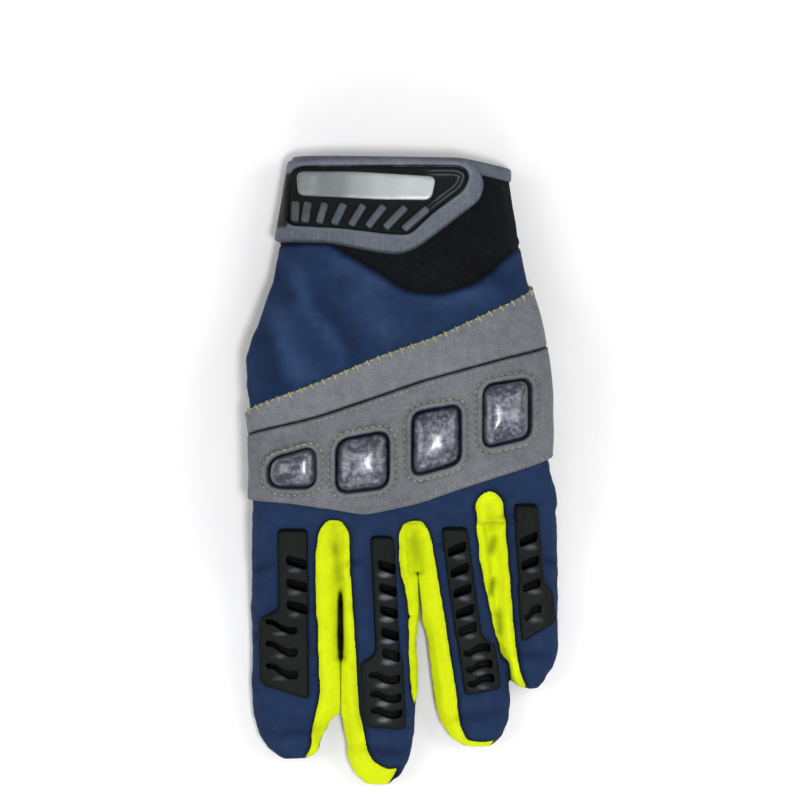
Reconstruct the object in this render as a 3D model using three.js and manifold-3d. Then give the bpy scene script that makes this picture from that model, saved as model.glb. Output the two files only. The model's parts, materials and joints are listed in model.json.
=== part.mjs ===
// Impact work glove for the left hand, lying on its palm with the thumb folded under.
// Millimetres. X runs across the hand from thumb side to little finger, Y from fingertips
// to cuff, Z up through the back of the hand. Z = 0 is the surface that it lies on.
import * as THREE from "three";
import { mergeVertices } from "three/addons/utils/BufferGeometryUtils.js";
import Module from "manifold-3d";

const wasm = await Module();
wasm.setup();

// Driving dimensions
const gloveLength = 250;
const handWidth = 120;
const handThickness = 25;
const palmLift = 14;
const fingerThickness = 16;
const thumbThickness = 12.6;
const clothWall = 1.4;
const seamGap = 0.3;
const bindingThickness = 1.2;
const bindingWidth = 5;
const strapThickness = 1.2;
const frameHeight = 3;
const inlayThickness = 0.8;
const plateThickness = 0.8;
const ribHeight = 1.1;
const ribWidth = 3;
const ribCount = 8;
const ribSpread = 1.2;
const stripThickness = 1.6;
const guardThickness = 2.2;
const lipWidth = 2.2;
const lipHeight = 1;
const capHeight = 6.5;
const fingerGuardHeight = 3;
const strapUnder = 5;
const archDepth = 9;
const slotWidth = 2.2;
const holeLength = 3;
const handSides = 18;
const fingerSides = 12;
const webSides = 10;

// Shape of a soft section: where its widest line lies between underside and back, how square its
// back and its sides are (1 is round), and how far its underside is cut off level.
const waist = 0.42;
const backSquare = 0.86;
const sideSquare = 0.62;
const undersideDepth = 1.12;

const halfWidth = handWidth / 2;
const cuffLift = bindingThickness + seamGap;

// Fingers: where the middle line starts and ends, as shares of halfWidth and gloveLength,
// and the width as a share of handWidth.
const fingers = {
  index: { rootX: -0.72, rootY: -0.02, tipX: -0.708, tipY: -0.468, width: 35 / 120 },
  middle: { rootX: -0.2, rootY: -0.02, tipX: -0.112, tipY: -0.502, width: 30.4 / 120 },
  ring: { rootX: 0.28, rootY: -0.008, tipX: 0.522, tipY: -0.444, width: 30.6 / 120 },
  pinky: { rootX: 0.748, rootY: 0.016, tipX: 0.872, tipY: -0.354, width: 25 / 120 },
};
const thumb = { rootX: -0.73, rootY: 0.15, tipX: -0.15, tipY: -0.13, width: 33 };

// Sections of the hand from cuff to knuckles. left and right are shares of halfWidth, along of
// gloveLength, lift of palmLift above the floor, thick of handThickness.
const handSections = [
  { along: 0.53, left: -0.71, right: 0.69, lift: 0, thick: 1.0 },
  { along: 0.5, left: -0.715, right: 0.705, lift: 0, thick: 1.0 },
  { along: 0.42, left: -0.77, right: 0.755, lift: 0.03, thick: 1.0 },
  { along: 0.36, left: -0.82, right: 0.8, lift: 0.22, thick: 0.98 },
  { along: 0.3, left: -0.865, right: 0.84, lift: 0.5, thick: 0.96 },
  { along: 0.23, left: -0.965, right: 0.925, lift: 0.8, thick: 0.96 },
  { along: 0.18, left: -1.04, right: 0.955, lift: 0.96, thick: 0.97 },
  { along: 0.13, left: -1.035, right: 0.98, lift: 1, thick: 0.98 },
  { along: 0.06, left: -1.0, right: 0.985, lift: 1, thick: 0.98 },
  { along: 0, left: -0.99, right: 0.975, lift: 1, thick: 0.94 },
  { along: -0.05, left: -1.0, right: 1.0, lift: 0.92, thick: 0.88 },
  { along: -0.085, left: -0.97, right: 0.97, lift: 0.84, thick: 0.74 },
];

// Sections of a finger from root to tip. wide is a share of its width, lift of palmLift,
// thick of fingerThickness, rise lifts the underside by a share of fingerThickness.
const fingerSections = [
  { along: 0, wide: 0.84, lift: 1, thick: 1.2, rise: 0 },
  { along: 0.13, wide: 0.95, lift: 0.88, thick: 1.22, rise: 0 },
  { along: 0.27, wide: 1, lift: 0.6, thick: 1.15, rise: 0 },
  { along: 0.41, wide: 1, lift: 0.25, thick: 1.08, rise: 0 },
  { along: 0.54, wide: 1, lift: 0, thick: 1.03, rise: 0 },
  { along: 0.84, wide: 0.99, lift: 0, thick: 0.93, rise: 0 },
  { along: 0.915, wide: 0.86, lift: 0, thick: 0.82, rise: 0.03 },
  { along: 0.965, wide: 0.64, lift: 0, thick: 0.62, rise: 0.1 },
  { along: 1, wide: 0.3, lift: 0, thick: 0.3, rise: 0.24 },
];

// Sections of the thumb from root to tip, under the palm. low and high are shares of thumbThickness.
const thumbSections = [
  { along: 0, wide: 0.74, low: 1.24, high: 1.9 },
  { along: 0.13, wide: 0.94, low: 0.5, high: 1.5 },
  { along: 0.26, wide: 1.04, low: 0.04, high: 1.06 },
  { along: 0.38, wide: 1.02, low: 0, high: 0.98 },
  { along: 0.8, wide: 0.94, low: 0, high: 0.94 },
  { along: 0.91, wide: 0.8, low: 0.03, high: 0.84 },
  { along: 0.97, wide: 0.56, low: 0.12, high: 0.7 },
  { along: 1, wide: 0.3, low: 0.24, high: 0.54 },
];

// Webs between two fingers: the middle line x as a share of halfWidth, start and end of the web and
// top of the yellow arch as shares of gloveLength, half the arch's width as a share of halfWidth, and
// the seams of the back cloth on the two fingers, at seamFrom and seamTo along them, as shares of half
// their width.
const crotches = {
  index_middle: {
    sides: ["index", "middle"], x: -0.452, start: -0.021, top: -0.081, end: -0.2, arch: 0.11,
    seams: [[0.48, 0.58], [-0.68, -0.62]],
  },
  middle_ring: {
    sides: ["middle", "ring"], x: 0.085, start: -0.021, top: -0.081, end: -0.172, arch: 0.11,
    seams: [[0.67, 0.82], [-0.54, -0.45]],
  },
  ring_pinky: {
    sides: ["ring", "pinky"], x: 0.585, start: 0.027, top: -0.033, end: -0.15, arch: 0.1,
    seams: [[0.66, 0.95], [-0.46, -0.42]],
  },
};
const seamFrom = 0.3;
const seamTo = 0.75;

// Sections of a web from the hand to the crotch. wide is half the width as a share of halfWidth, low
// and high are heights as shares of fingerThickness over lowLift and highLift of palmLift.
const webSections = [
  { along: 0, wide: 0.12, low: 0.06, lowLift: 1, high: 1.15, highLift: 1 },
  { along: 0.33, wide: 0.119, low: 0.065, lowLift: 0.87, high: 1.04, highLift: 0.87 },
  { along: 0.67, wide: 0.106, low: 0.1, lowLift: 0.65, high: 0.87, highLift: 0.65 },
  { along: 1, wide: 0.06, low: 0.26, lowLift: 0.38, high: 0.65, highLift: 0.38 },
];

// Outlines seen from above: across as a share of halfWidth, along of gloveLength.
const guardTop = [[-1.2, 0.083], [-0.583, 0.137], [-0.163, 0.18], [0.257, 0.215], [0.817, 0.278],
  [1.2, 0.32]];
const guardFold = [[-1.2, 0.05], [-0.583, 0.082], [-0.163, 0.116], [0.123, 0.14], [0.683, 0.177],
  [1.2, 0.206]];
const guardFoot = [[-1.2, -0.046], [-0.723, -0.054], [-0.443, -0.062], [-0.243, -0.071], [0.123, -0.052],
  [0.543, -0.018], [1.2, 0.031]];
const fingerSeam = [[-1.3, 0.012], [-0.443, 0.01], [0.123, 0.045], [1.3, 0.115]];
const cuffMouth = [[-1.3, 0.5], [-0.65, 0.502], [0.4, 0.498], [0.72, 0.482], [1.3, 0.47]];
const cuffEdge = 0.362;
const gusset = [[-1.3, 0.4], [-1.3, 0.366], [-0.477, 0.362], [-0.19, 0.321], [0, 0.292], [0.103, 0.282],
  [0.257, 0.281], [0.49, 0.298], [0.82, 0.366], [1.3, 0.374], [1.3, 0.4]];
const strapOutline = [[-1.1, 0.489], [-0.65, 0.499], [-0.01, 0.5], [0.41, 0.496], [0.51, 0.484],
  [0.55, 0.457], [0.523, 0.431], [0.323, 0.393], [0.103, 0.353], [-0.017, 0.342], [-0.19, 0.348],
  [-0.483, 0.362], [-1.1, 0.366]];
const inlayOutline = [[-0.757, 0.472], [-0.68, 0.484], [0.36, 0.484], [0.42, 0.478], [0.437, 0.468],
  [0.403, 0.447], [0.203, 0.41], [0.05, 0.375], [-0.097, 0.377], [-0.39, 0.386], [-0.75, 0.391]];
const plateOutline = [[-0.69, 0.477], [-0.3, 0.476], [0.23, 0.468], [0.197, 0.43], [-0.14, 0.431],
  [-0.683, 0.438]];

// First and last rib of the tab, by their upper and lower ends. ribSpread opens the row to the right.
const ribRow = { top: [[-0.693, 0.429], [0.175, 0.417]], foot: [[-0.7, 0.395], [0.012, 0.382]] };

// Knuckle windows, from index to little finger: middle as shares of halfWidth and gloveLength,
// size and corner radius in mm, how far the upper left and lower right corners are cut as shares of
// the height, slope across the cap, and how deep it is sunk as a share of capHeight.
const windows = {
  index: { x: -0.72, y: 0.006, wide: 18.4, tall: 16.4, cut: [0.34, 0], round: 5.2, tilt: -0.2, sunk: 0.18 },
  middle: { x: -0.257, y: 0.014, wide: 20.8, tall: 24.8, cut: [0.16, 0.1], round: 5.5, tilt: 0, sunk: 0.05 },
  ring: { x: 0.23, y: 0.048, wide: 19.2, tall: 28.4, cut: [0.12, 0.18], round: 4.5, tilt: 0.04, sunk: 0.04 },
  pinky: { x: 0.69, y: 0.09, wide: 18.4, tall: 27.6, cut: [0.1, 0.16], round: 4.5, tilt: 0.18, sunk: 0.17 },
};

// Finger guards: outline and openings along the finger (0 root, 1 tip) and across it (shares of
// half its width). neck is the narrow upper part, pad the wide lower one, slot rows [left, right] ends.
const fingerGuards = {
  index: {
    neck: { start: 0.164, end: 0.457, left: -0.38, right: 0.34 },
    pad: { endLeft: 0.73, endRight: 0.785, left: -0.79, right: 0.31 },
    holes: [0.278, 0.36, 0.442],
    slots: [[0.496, 0.536], [0.58, 0.62], [0.66, 0.7]],
  },
  middle: {
    neck: { start: 0.176, end: 0.575, left: -0.1, right: 0.53 },
    pad: { endLeft: 0.82, endRight: 0.83, left: -0.5, right: 0.6 },
    holes: [0.274, 0.35, 0.426, 0.502, 0.576],
    slots: [[0.646, 0.664], [0.71, 0.726], [0.765, 0.778]],
  },
  ring: {
    neck: { start: 0.19, end: 0.6, left: -0.26, right: 0.45 },
    pad: { endLeft: 0.82, endRight: 0.795, left: -0.22, right: 0.74 },
    holes: [0.265, 0.343, 0.421, 0.499, 0.57],
    slots: [[0.66, 0.635], [0.72, 0.695], [0.773, 0.748]],
  },
  pinky: {
    neck: { start: 0.188, end: 0.535, left: -0.14, right: 0.66 },
    pad: { endLeft: 0.8, endRight: 0.715, left: -0.2, right: 0.88 },
    holes: [0.334, 0.44, 0.542],
    slots: [[0.69, 0.64]],
  },
};
const slotInset = 0.14;
const holeShare = 0.42;

// Finishes
const finish = (color, roughness, metalness = 0) => (
  new THREE.MeshStandardMaterial({ color, roughness, metalness }));
const navyCloth = finish(0x263860, 0.85);
const blackLeather = finish(0x1c1e21, 0.6);
const yellowCloth = finish(0xe1fa19, 0.8);
const blackNeoprene = finish(0x1c1e21, 0.9);
const greyLeather = finish(0x7d8082, 0.6);
const greyRubber = finish(0x64696e, 0.55);
const blackRubber = finish(0x2d3032, 0.5);
const carbonShell = finish(0x46464f, 0.2);
const silverPlate = finish(0xb4b8bc, 0.4, 0.3);

// A closed geometry as a solid that can be joined and cut.
function solidOf(geometry) {
  const bare = geometry.clone();
  bare.deleteAttribute("normal");
  bare.deleteAttribute("uv");
  const merged = mergeVertices(bare, 1e-4);
  return new wasm.Manifold(new wasm.Mesh({
    numProp: 3,
    vertProperties: merged.attributes.position.array,
    triVerts: new Uint32Array(merged.index.array),
  }));
}

// A solid back as a named mesh, without the slivers that cuts leave.
function meshOf(name, solid, material) {
  const data = solid.getMesh();
  const raw = new THREE.BufferGeometry();
  raw.setAttribute("position", new THREE.BufferAttribute(data.vertProperties, 3));
  raw.setIndex(new THREE.BufferAttribute(data.triVerts, 1));
  const geometry = mergeVertices(raw, 2e-3);
  const faces = geometry.index.array;
  const kept = [];
  for (let i = 0; i < faces.length; i += 3) {
    const [a, b, c] = faces.subarray(i, i + 3);
    if (a !== b && b !== c && a !== c) kept.push(a, b, c);
  }
  geometry.setIndex(kept);
  geometry.computeVertexNormals();
  const mesh = new THREE.Mesh(geometry, material);
  mesh.name = name;
  return mesh;
}

const joined = (solids) => solids.reduce((all, next) => all.add(next));

// The main body of a cut solid, without the crumbs beside it.
const mainBody = (solid) => (
  solid.decompose().reduce((best, next) => (next.volume() > best.volume() ? next : best)));

// A closed skin over a row of rings with the same number of points, capped at both ends.
function loft(rings) {
  const sides = rings[0].length;
  const points = rings.flat();
  const faces = [];
  for (let ring = 0; ring < rings.length - 1; ring += 1) {
    for (let side = 0; side < sides; side += 1) {
      const next = (side + 1) % sides;
      const a = ring * sides + side;
      const b = ring * sides + next;
      faces.push(a, b, a + sides, b, b + sides, a + sides);
    }
  }
  [0, rings.length - 1].forEach((ring) => {
    const middle = points.length;
    const centre = rings[ring].reduce((sum, p) => sum.add(p), new THREE.Vector3()).divideScalar(sides);
    points.push(centre);
    for (let side = 0; side < sides; side += 1) {
      const a = ring * sides + side;
      const b = ring * sides + (side + 1) % sides;
      if (ring === 0) faces.push(middle, b, a);
      else faces.push(middle, a, b);
    }
  });
  const geometry = new THREE.BufferGeometry().setFromPoints(points);
  geometry.setIndex(faces);
  const solid = solidOf(geometry);
  return solid.volume() > 0 ? solid : solidOf(turned(geometry));
}

function turned(geometry) {
  const faces = Array.from(geometry.index.array);
  for (let i = 0; i < faces.length; i += 3) [faces[i], faces[i + 1]] = [faces[i + 1], faces[i]];
  geometry.setIndex(faces);
  return geometry;
}

// One ring of a soft, flat-bottomed section: a squared oval, cut off level underneath.
// place puts the across and height values in space.
function loafRing({ left, right, low, high, sides, place }) {
  const middle = (left + right) / 2;
  const half = (right - left) / 2;
  const widest = low + (high - low) * waist;
  const squared = (value, power) => Math.sign(value) * Math.abs(value) ** power;
  return Array.from({ length: sides }, (_, side) => {
    const angle = (side + 0.5) / sides * Math.PI * 2;
    const across = middle + half * squared(Math.cos(angle), sideSquare);
    const rise = Math.sin(angle) > 0 ? (high - widest) * squared(Math.sin(angle), backSquare)
      : (widest - low) * squared(Math.sin(angle), sideSquare) * undersideDepth;
    return place(across, Math.max(low, widest + rise));
  });
}

// The hand without its fingers, grown outwards by a distance.
function handBody(grow) {
  const rings = handSections.map(({ along, left, right, lift, thick }, row) => {
    const low = cuffLift + (palmLift - cuffLift) * lift;
    const end = row === handSections.length - 1 ? -grow : 0;
    const y = along * gloveLength + end;
    return loafRing({
      left: left * halfWidth - grow,
      right: right * halfWidth + grow,
      low: low - grow,
      high: low + thick * handThickness + grow,
      sides: handSides,
      place: (across, height) => new THREE.Vector3(across, y, height),
    });
  });
  return loft(rings);
}

const fingerWidth = (name) => fingers[name].width * handWidth;

// The point on a finger at a share of its length and of half its width.
function onFinger(name, along, across) {
  const { rootX, rootY, tipX, tipY } = fingers[name];
  const x = THREE.MathUtils.lerp(rootX, tipX, along) * halfWidth;
  const y = THREE.MathUtils.lerp(rootY, tipY, along) * gloveLength;
  return new THREE.Vector2(x + across * fingerHalf(along) * fingerWidth(name), y);
}

// Half the width of a finger at a share of its length, as a share of its full width.
function fingerHalf(along) {
  const row = fingerSections.findIndex((section) => section.along >= Math.min(along, 1));
  const next = fingerSections[Math.max(row, 1)];
  const last = fingerSections[Math.max(row, 1) - 1];
  const share = THREE.MathUtils.clamp((along - last.along) / (next.along - last.along), 0, 1);
  return THREE.MathUtils.lerp(last.wide, next.wide, share) / 2;
}

function fingerBody(name, grow) {
  const { rootX, rootY, tipX, tipY } = fingers[name];
  const width = fingerWidth(name);
  const length = (rootY - tipY) * gloveLength;
  const rings = fingerSections.map(({ along, wide, lift, thick, rise }) => {
    const low = palmLift * lift + fingerThickness * rise;
    const centre = THREE.MathUtils.lerp(rootX, tipX, along) * halfWidth;
    const y = rootY * gloveLength - along * (length + grow);
    return loafRing({
      left: centre - wide * width / 2 - grow,
      right: centre + wide * width / 2 + grow,
      low: low - grow,
      high: low + thick * fingerThickness + grow,
      sides: fingerSides,
      place: (across, height) => new THREE.Vector3(across, y, height),
    });
  });
  return loft(rings);
}

function thumbBody(grow) {
  const root = new THREE.Vector2(thumb.rootX * halfWidth, thumb.rootY * gloveLength);
  const tip = new THREE.Vector2(thumb.tipX * halfWidth, thumb.tipY * gloveLength);
  const axis = tip.clone().sub(root).normalize();
  const length = tip.distanceTo(root);
  const rings = thumbSections.map(({ along, wide, low, high }) => {
    const reach = along * length + (along * 2 - 1) * grow;
    return loafRing({
      left: -wide * thumb.width / 2 - grow,
      right: wide * thumb.width / 2 + grow,
      low: low * thumbThickness - grow,
      high: high * thumbThickness + grow,
      sides: fingerSides,
      place: (across, height) => new THREE.Vector3(
        root.x + axis.x * reach - axis.y * across,
        root.y + axis.y * reach + axis.x * across,
        height,
      ),
    });
  });
  return loft(rings);
}

// The web that closes the valley between two fingers down to their crotch.
function webBody({ x, start, end }, grow) {
  const rings = webSections.map(({ along, wide, low, lowLift, high, highLift }) => {
    const y = THREE.MathUtils.lerp(start * gloveLength, end * gloveLength - grow, along);
    const half = halfWidth * wide;
    return loafRing({
      left: x * halfWidth - half - grow,
      right: x * halfWidth + half + grow,
      low: palmLift * lowLift + fingerThickness * low - grow,
      high: palmLift * highLift + fingerThickness * high + grow,
      sides: webSides,
      place: (across, height) => new THREE.Vector3(across, y, height),
    });
  });
  return loft(rings);
}

// The glove's whole form without the thumb, grown outwards by a distance.
const forms = new Map();
function handForm(grow) {
  if (!forms.has(grow)) {
    forms.set(grow, joined([
      handBody(grow),
      ...Object.keys(fingers).map((name) => fingerBody(name, grow)),
      ...Object.values(crotches).map((crotch) => webBody(crotch, grow)),
    ]));
  }
  return forms.get(grow);
}

// The upright prism over an outline seen from above.
const tallest = 90;
function prism(outline, low = -tallest, high = tallest) {
  const shape = new THREE.Shape(outline);
  const geometry = new THREE.ExtrudeGeometry(shape, { depth: high - low, bevelEnabled: false });
  geometry.translate(0, 0, low);
  return solidOf(geometry);
}

const inMillimetres = (outline) => outline.map(([across, along]) => (
  new THREE.Vector2(across * halfWidth, along * gloveLength)));

const strip = (upper, lower) => inMillimetres([...upper, ...[...lower].reverse()]);

const moved = (outline, distance) => outline.map((point) => (
  new THREE.Vector2(point.x, point.y + distance)));

// An outline moved outwards (or inwards) by a distance, corner by corner.
function grown(outline, distance) {
  const way = THREE.ShapeUtils.isClockWise(outline) ? -1 : 1;
  return outline.map((point, index) => {
    const before = outline[(index + outline.length - 1) % outline.length];
    const after = outline[(index + 1) % outline.length];
    const inward = point.clone().sub(before).normalize();
    const outward = after.clone().sub(point).normalize();
    const normalIn = new THREE.Vector2(inward.y, -inward.x);
    const normalOut = new THREE.Vector2(outward.y, -outward.x);
    const bisector = normalIn.clone().add(normalOut).normalize();
    const reach = distance * way / Math.max(0.5, bisector.dot(normalIn));
    return point.clone().addScaledVector(bisector, reach);
  });
}

// A polygon with its corners rounded.
function rounded(corners, radius, steps = 3) {
  return corners.flatMap((corner, index) => {
    const before = corners[(index + corners.length - 1) % corners.length];
    const after = corners[(index + 1) % corners.length];
    const reach = Math.min(radius, corner.distanceTo(before) * 0.48, corner.distanceTo(after) * 0.48);
    const start = corner.clone().add(before.clone().sub(corner).setLength(reach));
    const end = corner.clone().add(after.clone().sub(corner).setLength(reach));
    return new THREE.QuadraticBezierCurve(start, corner, end).getPoints(steps);
  });
}

// A layer all round the glove inside an outline, between two heights over its skin.
function wrap(outline, from, to) {
  return prism(outline).intersect(handForm(to)).subtract(handForm(from));
}

// The same on the back only, down to a height under or over the side seam.
function layer(outline, from, to, overSeam = seamGap) {
  return wrap(outline, from, to).subtract(belowSeam(overSeam));
}

// The side seam between back and palm, as height over length, swept across the whole glove.
const seamLine = [
  { along: 0.7, height: (low) => low.cuff },
  { along: 0.42, height: (low) => low.cuff },
  { along: 0.2, height: (low) => low.palm },
  { along: -0.04, height: (low) => low.palm },
  { along: -0.22, height: (low) => low.finger },
  { along: -0.7, height: (low) => low.finger },
];
const seamHeights = {
  cuff: cuffLift + handThickness * 0.36,
  palm: palmLift + handThickness * 0.3,
  finger: fingerThickness * 0.36,
};
function belowSeam(shift) {
  const points = seamLine.map(({ along, height }) => (
    new THREE.Vector2(along * gloveLength, height(seamHeights) + shift)));
  points.push(new THREE.Vector2(-gloveLength, -tallest), new THREE.Vector2(gloveLength, -tallest));
  const shape = new THREE.Shape(points);
  const geometry = new THREE.ExtrudeGeometry(shape, { depth: handWidth * 2, bevelEnabled: false });
  geometry.applyMatrix4(new THREE.Matrix4().makeBasis(
    new THREE.Vector3(0, 1, 0),
    new THREE.Vector3(0, 0, 1),
    new THREE.Vector3(1, 0, 0),
  ));
  geometry.translate(-handWidth, 0, 0);
  return solidOf(geometry);
}

const parts = [];
const add = (name, solid, material) => parts.push(meshOf(name, mainBody(solid), material));

// The cloth and leather shell, open at the cuff, and its regions
const farOut = [[-1.3, 0.7], [1.3, 0.7]];
const farIn = [[-1.3, -0.7], [1.3, -0.7]];
const beyondMouth = prism(strip(farOut, cuffMouth));
const hollow = handForm(-clothWall);
const shell = handForm(0).subtract(hollow).subtract(beyondMouth);
const upperShell = shell.subtract(belowSeam(seamGap / 2));
const level = (along) => [[-1.3, along], [1.3, along]];
const gussetOutline = inMillimetres(gusset);
const cuffRegion = joined([
  prism(strip(farOut, level(cuffEdge))),
  prism(gussetOutline).subtract(belowSeam(0)),
]);
const cuffRegionGrown = joined([
  prism(moved(strip(farOut, level(cuffEdge)), -seamGap)),
  prism(moved(gussetOutline, -seamGap)).subtract(belowSeam(-seamGap)),
]);
add("cuff", shell.intersect(cuffRegion), blackNeoprene);

// Bright side walls between the fingers
function fourchetteOutline({ sides: [from, to], x, top, arch, seams }) {
  const shares = [0.3, 0.45, 0.6, 0.75, 0.86, 0.93, 0.98];
  const seamAt = (along, [start, end]) => {
    const share = THREE.MathUtils.clamp((along - seamFrom) / (seamTo - seamFrom), 0, 1);
    return THREE.MathUtils.lerp(start, end, share);
  };
  const down = shares.map((along) => onFinger(from, along, seamAt(along, seams[0])));
  const up = shares.map((along) => onFinger(to, along, seamAt(along, seams[1]))).reverse();
  const tipFrom = onFinger(from, 1.05, 0);
  const tipTo = onFinger(to, 1.05, 0);
  const crown = [0.15, 0.35, 0.5, 0.65, 0.85].map((share) => {
    const angle = Math.PI * share;
    return new THREE.Vector2(
      (x + arch * Math.cos(angle)) * halfWidth,
      top * gloveLength - (1 - Math.sin(angle)) * archDepth,
    );
  });
  return [...crown, ...down, tipFrom, tipTo, ...up];
}
const fourchetteOutlines = Object.values(crotches).map(fourchetteOutline);
Object.keys(crotches).forEach((name, index) => {
  add(`fourchette_${name}`, upperShell.intersect(prism(fourchetteOutlines[index])), yellowCloth);
});

// Back of the hand, and the finger backs in one panel under the guard
const fingerRegion = strip(fingerSeam, farIn);
const handBack = upperShell.subtract(cuffRegionGrown).subtract(prism(moved(fingerRegion, seamGap)));
add("hand_back", handBack, navyCloth);
let fingerPanel = upperShell.intersect(prism(fingerRegion));
fourchetteOutlines.forEach((outline) => {
  fingerPanel = fingerPanel.subtract(prism(grown(outline, seamGap)));
});
add("finger_panel", fingerPanel, navyCloth);

// Palm with the finger fronts, open where the thumb joins
const thumbHollow = thumbBody(-clothWall);
add("palm_panel", shell.intersect(belowSeam(-seamGap / 2)).subtract(cuffRegionGrown).subtract(thumbHollow),
  blackLeather);

// Thumb, folded under the palm
const thumbShell = thumbBody(0).subtract(thumbHollow).subtract(handForm(seamGap));
const thumbSeam = thumbThickness * 0.5;
const everywhere = strip(farOut, farIn);
add("thumb_back", thumbShell.subtract(prism(everywhere, thumbSeam - seamGap / 2)), navyCloth);
add("thumb_front", thumbShell.subtract(prism(everywhere, -tallest, thumbSeam + seamGap / 2)), blackLeather);

// Bound edge of the cuff, let in beside the strap, which ends a little under the side seam
const strapEnd = -strapUnder;
const strapShape = inMillimetres(strapOutline);
const bindingRegion = strip(cuffMouth, cuffMouth.map(([x, y]) => [x, y - bindingWidth / gloveLength]));
add("cuff_binding", wrap(bindingRegion, seamGap, seamGap + bindingThickness)
  .subtract(prism(grown(strapShape, seamGap)).subtract(belowSeam(strapEnd - seamGap))), greyRubber);

// Closure strap with its framed tab
const inlayShape = inMillimetres(inlayOutline);
const strapField = wrap(grown(inlayShape, seamGap), seamGap + strapThickness, seamGap + frameHeight + 1);
const strapBody = layer(strapShape, seamGap, seamGap + frameHeight, strapEnd).subtract(strapField);
add("closure_strap", strapBody, greyRubber);
const inlayFrom = seamGap * 2 + strapThickness;
const inlayTo = inlayFrom + inlayThickness;
add("tab_inlay", layer(inlayShape, inlayFrom, inlayTo), blackRubber);
add("tab_plate", layer(rounded(inMillimetres(plateOutline), 3), inlayTo + seamGap,
  inlayTo + seamGap + plateThickness), silverPlate);
for (let rib = 0; rib < ribCount; rib += 1) {
  const share = (rib / (ribCount - 1)) ** ribSpread;
  const [top, foot] = [ribRow.top, ribRow.foot].map(([first, last]) => (
    inMillimetres([first, last]))).map(([first, last]) => first.lerp(last, share));
  const aside = foot.clone().sub(top).rotateAround(new THREE.Vector2(), Math.PI / 2).setLength(ribWidth / 2);
  const outline = [
    top.clone().add(aside),
    top.clone().sub(aside),
    foot.clone().sub(aside),
    foot.clone().add(aside),
  ];
  add(`tab_rib_${rib + 1}`, layer(outline, inlayTo + seamGap, inlayTo + seamGap + ribHeight),
    greyRubber);
}

// Strip and padded guard over the knuckles, with four lipped windows
const windowShape = ({ x, y, wide, tall, cut, round }, grow) => {
  const centre = new THREE.Vector2(x * halfWidth, y * gloveLength);
  const half = new THREE.Vector2(wide / 2, tall / 2);
  const corners = [[-1, 1 - cut[0] * 2], [1, 1], [1, -1 + cut[1] * 2], [-1, -1]].map(([across, along]) => (
    new THREE.Vector2(centre.x + across * half.x, centre.y + along * half.y)));
  return rounded(grown(corners, grow), round);
};
add("guard_strip", layer(strip(guardTop, guardFold.map(([x, y]) => [x, y + seamGap / gloveLength])),
  seamGap, seamGap + stripThickness), greyLeather);
const guardShape = strip(guardFold, guardFoot);
const lips = joined(Object.values(windows).map((window) => prism(windowShape(window, lipWidth))))
  .intersect(layer(guardShape, seamGap, seamGap + guardThickness + lipHeight));
const guard = layer(guardShape, seamGap, seamGap + guardThickness).add(lips);
const openWindows = joined(Object.values(windows).map((window) => prism(windowShape(window, seamGap))));
add("knuckle_guard", guard.subtract(openWindows), greyLeather);

// Hard domed caps in the windows: shrinking rings that rise over the guard, cut off by the skin.
// rise is a share of capHeight over the knuckles' back, which lies at knuckleBack of handThickness.
const knuckleBack = 0.955;
const domeRows = [
  { size: 1, rise: -1.4 },
  { size: 1, rise: 0.42 },
  { size: 0.88, rise: 0.76 },
  { size: 0.62, rise: 0.95 },
  { size: 0.25, rise: 1 },
];
function cap(window) {
  const outline = windowShape(window, 0);
  const centre = new THREE.Vector2(window.x * halfWidth, window.y * gloveLength);
  const skin = palmLift + handThickness * knuckleBack;
  const rings = domeRows.map(({ size, rise }) => outline.map((point) => {
    const across = (point.x - centre.x) * size;
    return new THREE.Vector3(
      centre.x + across,
      centre.y + (point.y - centre.y) * size,
      skin + (rise - window.sunk) * capHeight - across * window.tilt,
    );
  }));
  return loft(rings).subtract(handForm(seamGap));
}
Object.entries(windows).forEach(([name, window]) => add(`knuckle_cap_${name}`, cap(window), carbonShell));

// Rubber ladders along the fingers
function guardOutline(name) {
  const { neck, pad } = fingerGuards[name];
  return rounded([
    onFinger(name, neck.start, neck.left),
    onFinger(name, neck.start, neck.right),
    onFinger(name, neck.end, neck.right),
    onFinger(name, neck.end + 0.03, pad.right),
    onFinger(name, pad.endRight, pad.right),
    onFinger(name, pad.endLeft, pad.left),
    onFinger(name, neck.end + 0.03, pad.left),
    onFinger(name, neck.end, neck.left),
  ], 2.5, 2);
}
function holeOutline(name, along) {
  const { neck } = fingerGuards[name];
  const middle = (neck.left + neck.right) / 2;
  const half = (neck.right - neck.left) / 2 * holeShare;
  const start = onFinger(name, along, middle - half);
  const end = onFinger(name, along, middle + half);
  const tall = new THREE.Vector2(0, holeLength / 2);
  return [start.clone().sub(tall), end.clone().sub(tall), end.clone().add(tall), start.clone().add(tall)];
}
function slotOutline(name, [alongLeft, alongRight]) {
  const { pad } = fingerGuards[name];
  const start = onFinger(name, alongLeft, pad.left + slotInset);
  const end = onFinger(name, alongRight, pad.right - slotInset);
  const tall = new THREE.Vector2(0, slotWidth / 2);
  return [start.clone().sub(tall), end.clone().sub(tall), end.clone().add(tall), start.clone().add(tall)];
}
Object.entries(fingerGuards).forEach(([name, { holes, slots }]) => {
  let ladder = layer(guardOutline(name), seamGap, seamGap + fingerGuardHeight);
  holes.forEach((along) => {
    ladder = ladder.subtract(prism(holeOutline(name, along)));
  });
  slots.forEach((ends) => {
    ladder = ladder.subtract(prism(slotOutline(name, ends)));
  });
  add(`finger_guard_${name}`, ladder, blackRubber);
});

// The glove, with its middle over the origin
const glove = new THREE.Group();
glove.add(...parts);
const middle = new THREE.Box3().setFromObject(glove).getCenter(new THREE.Vector3());
glove.position.set(-middle.x, -middle.y, 0);

export default glove;
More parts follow.
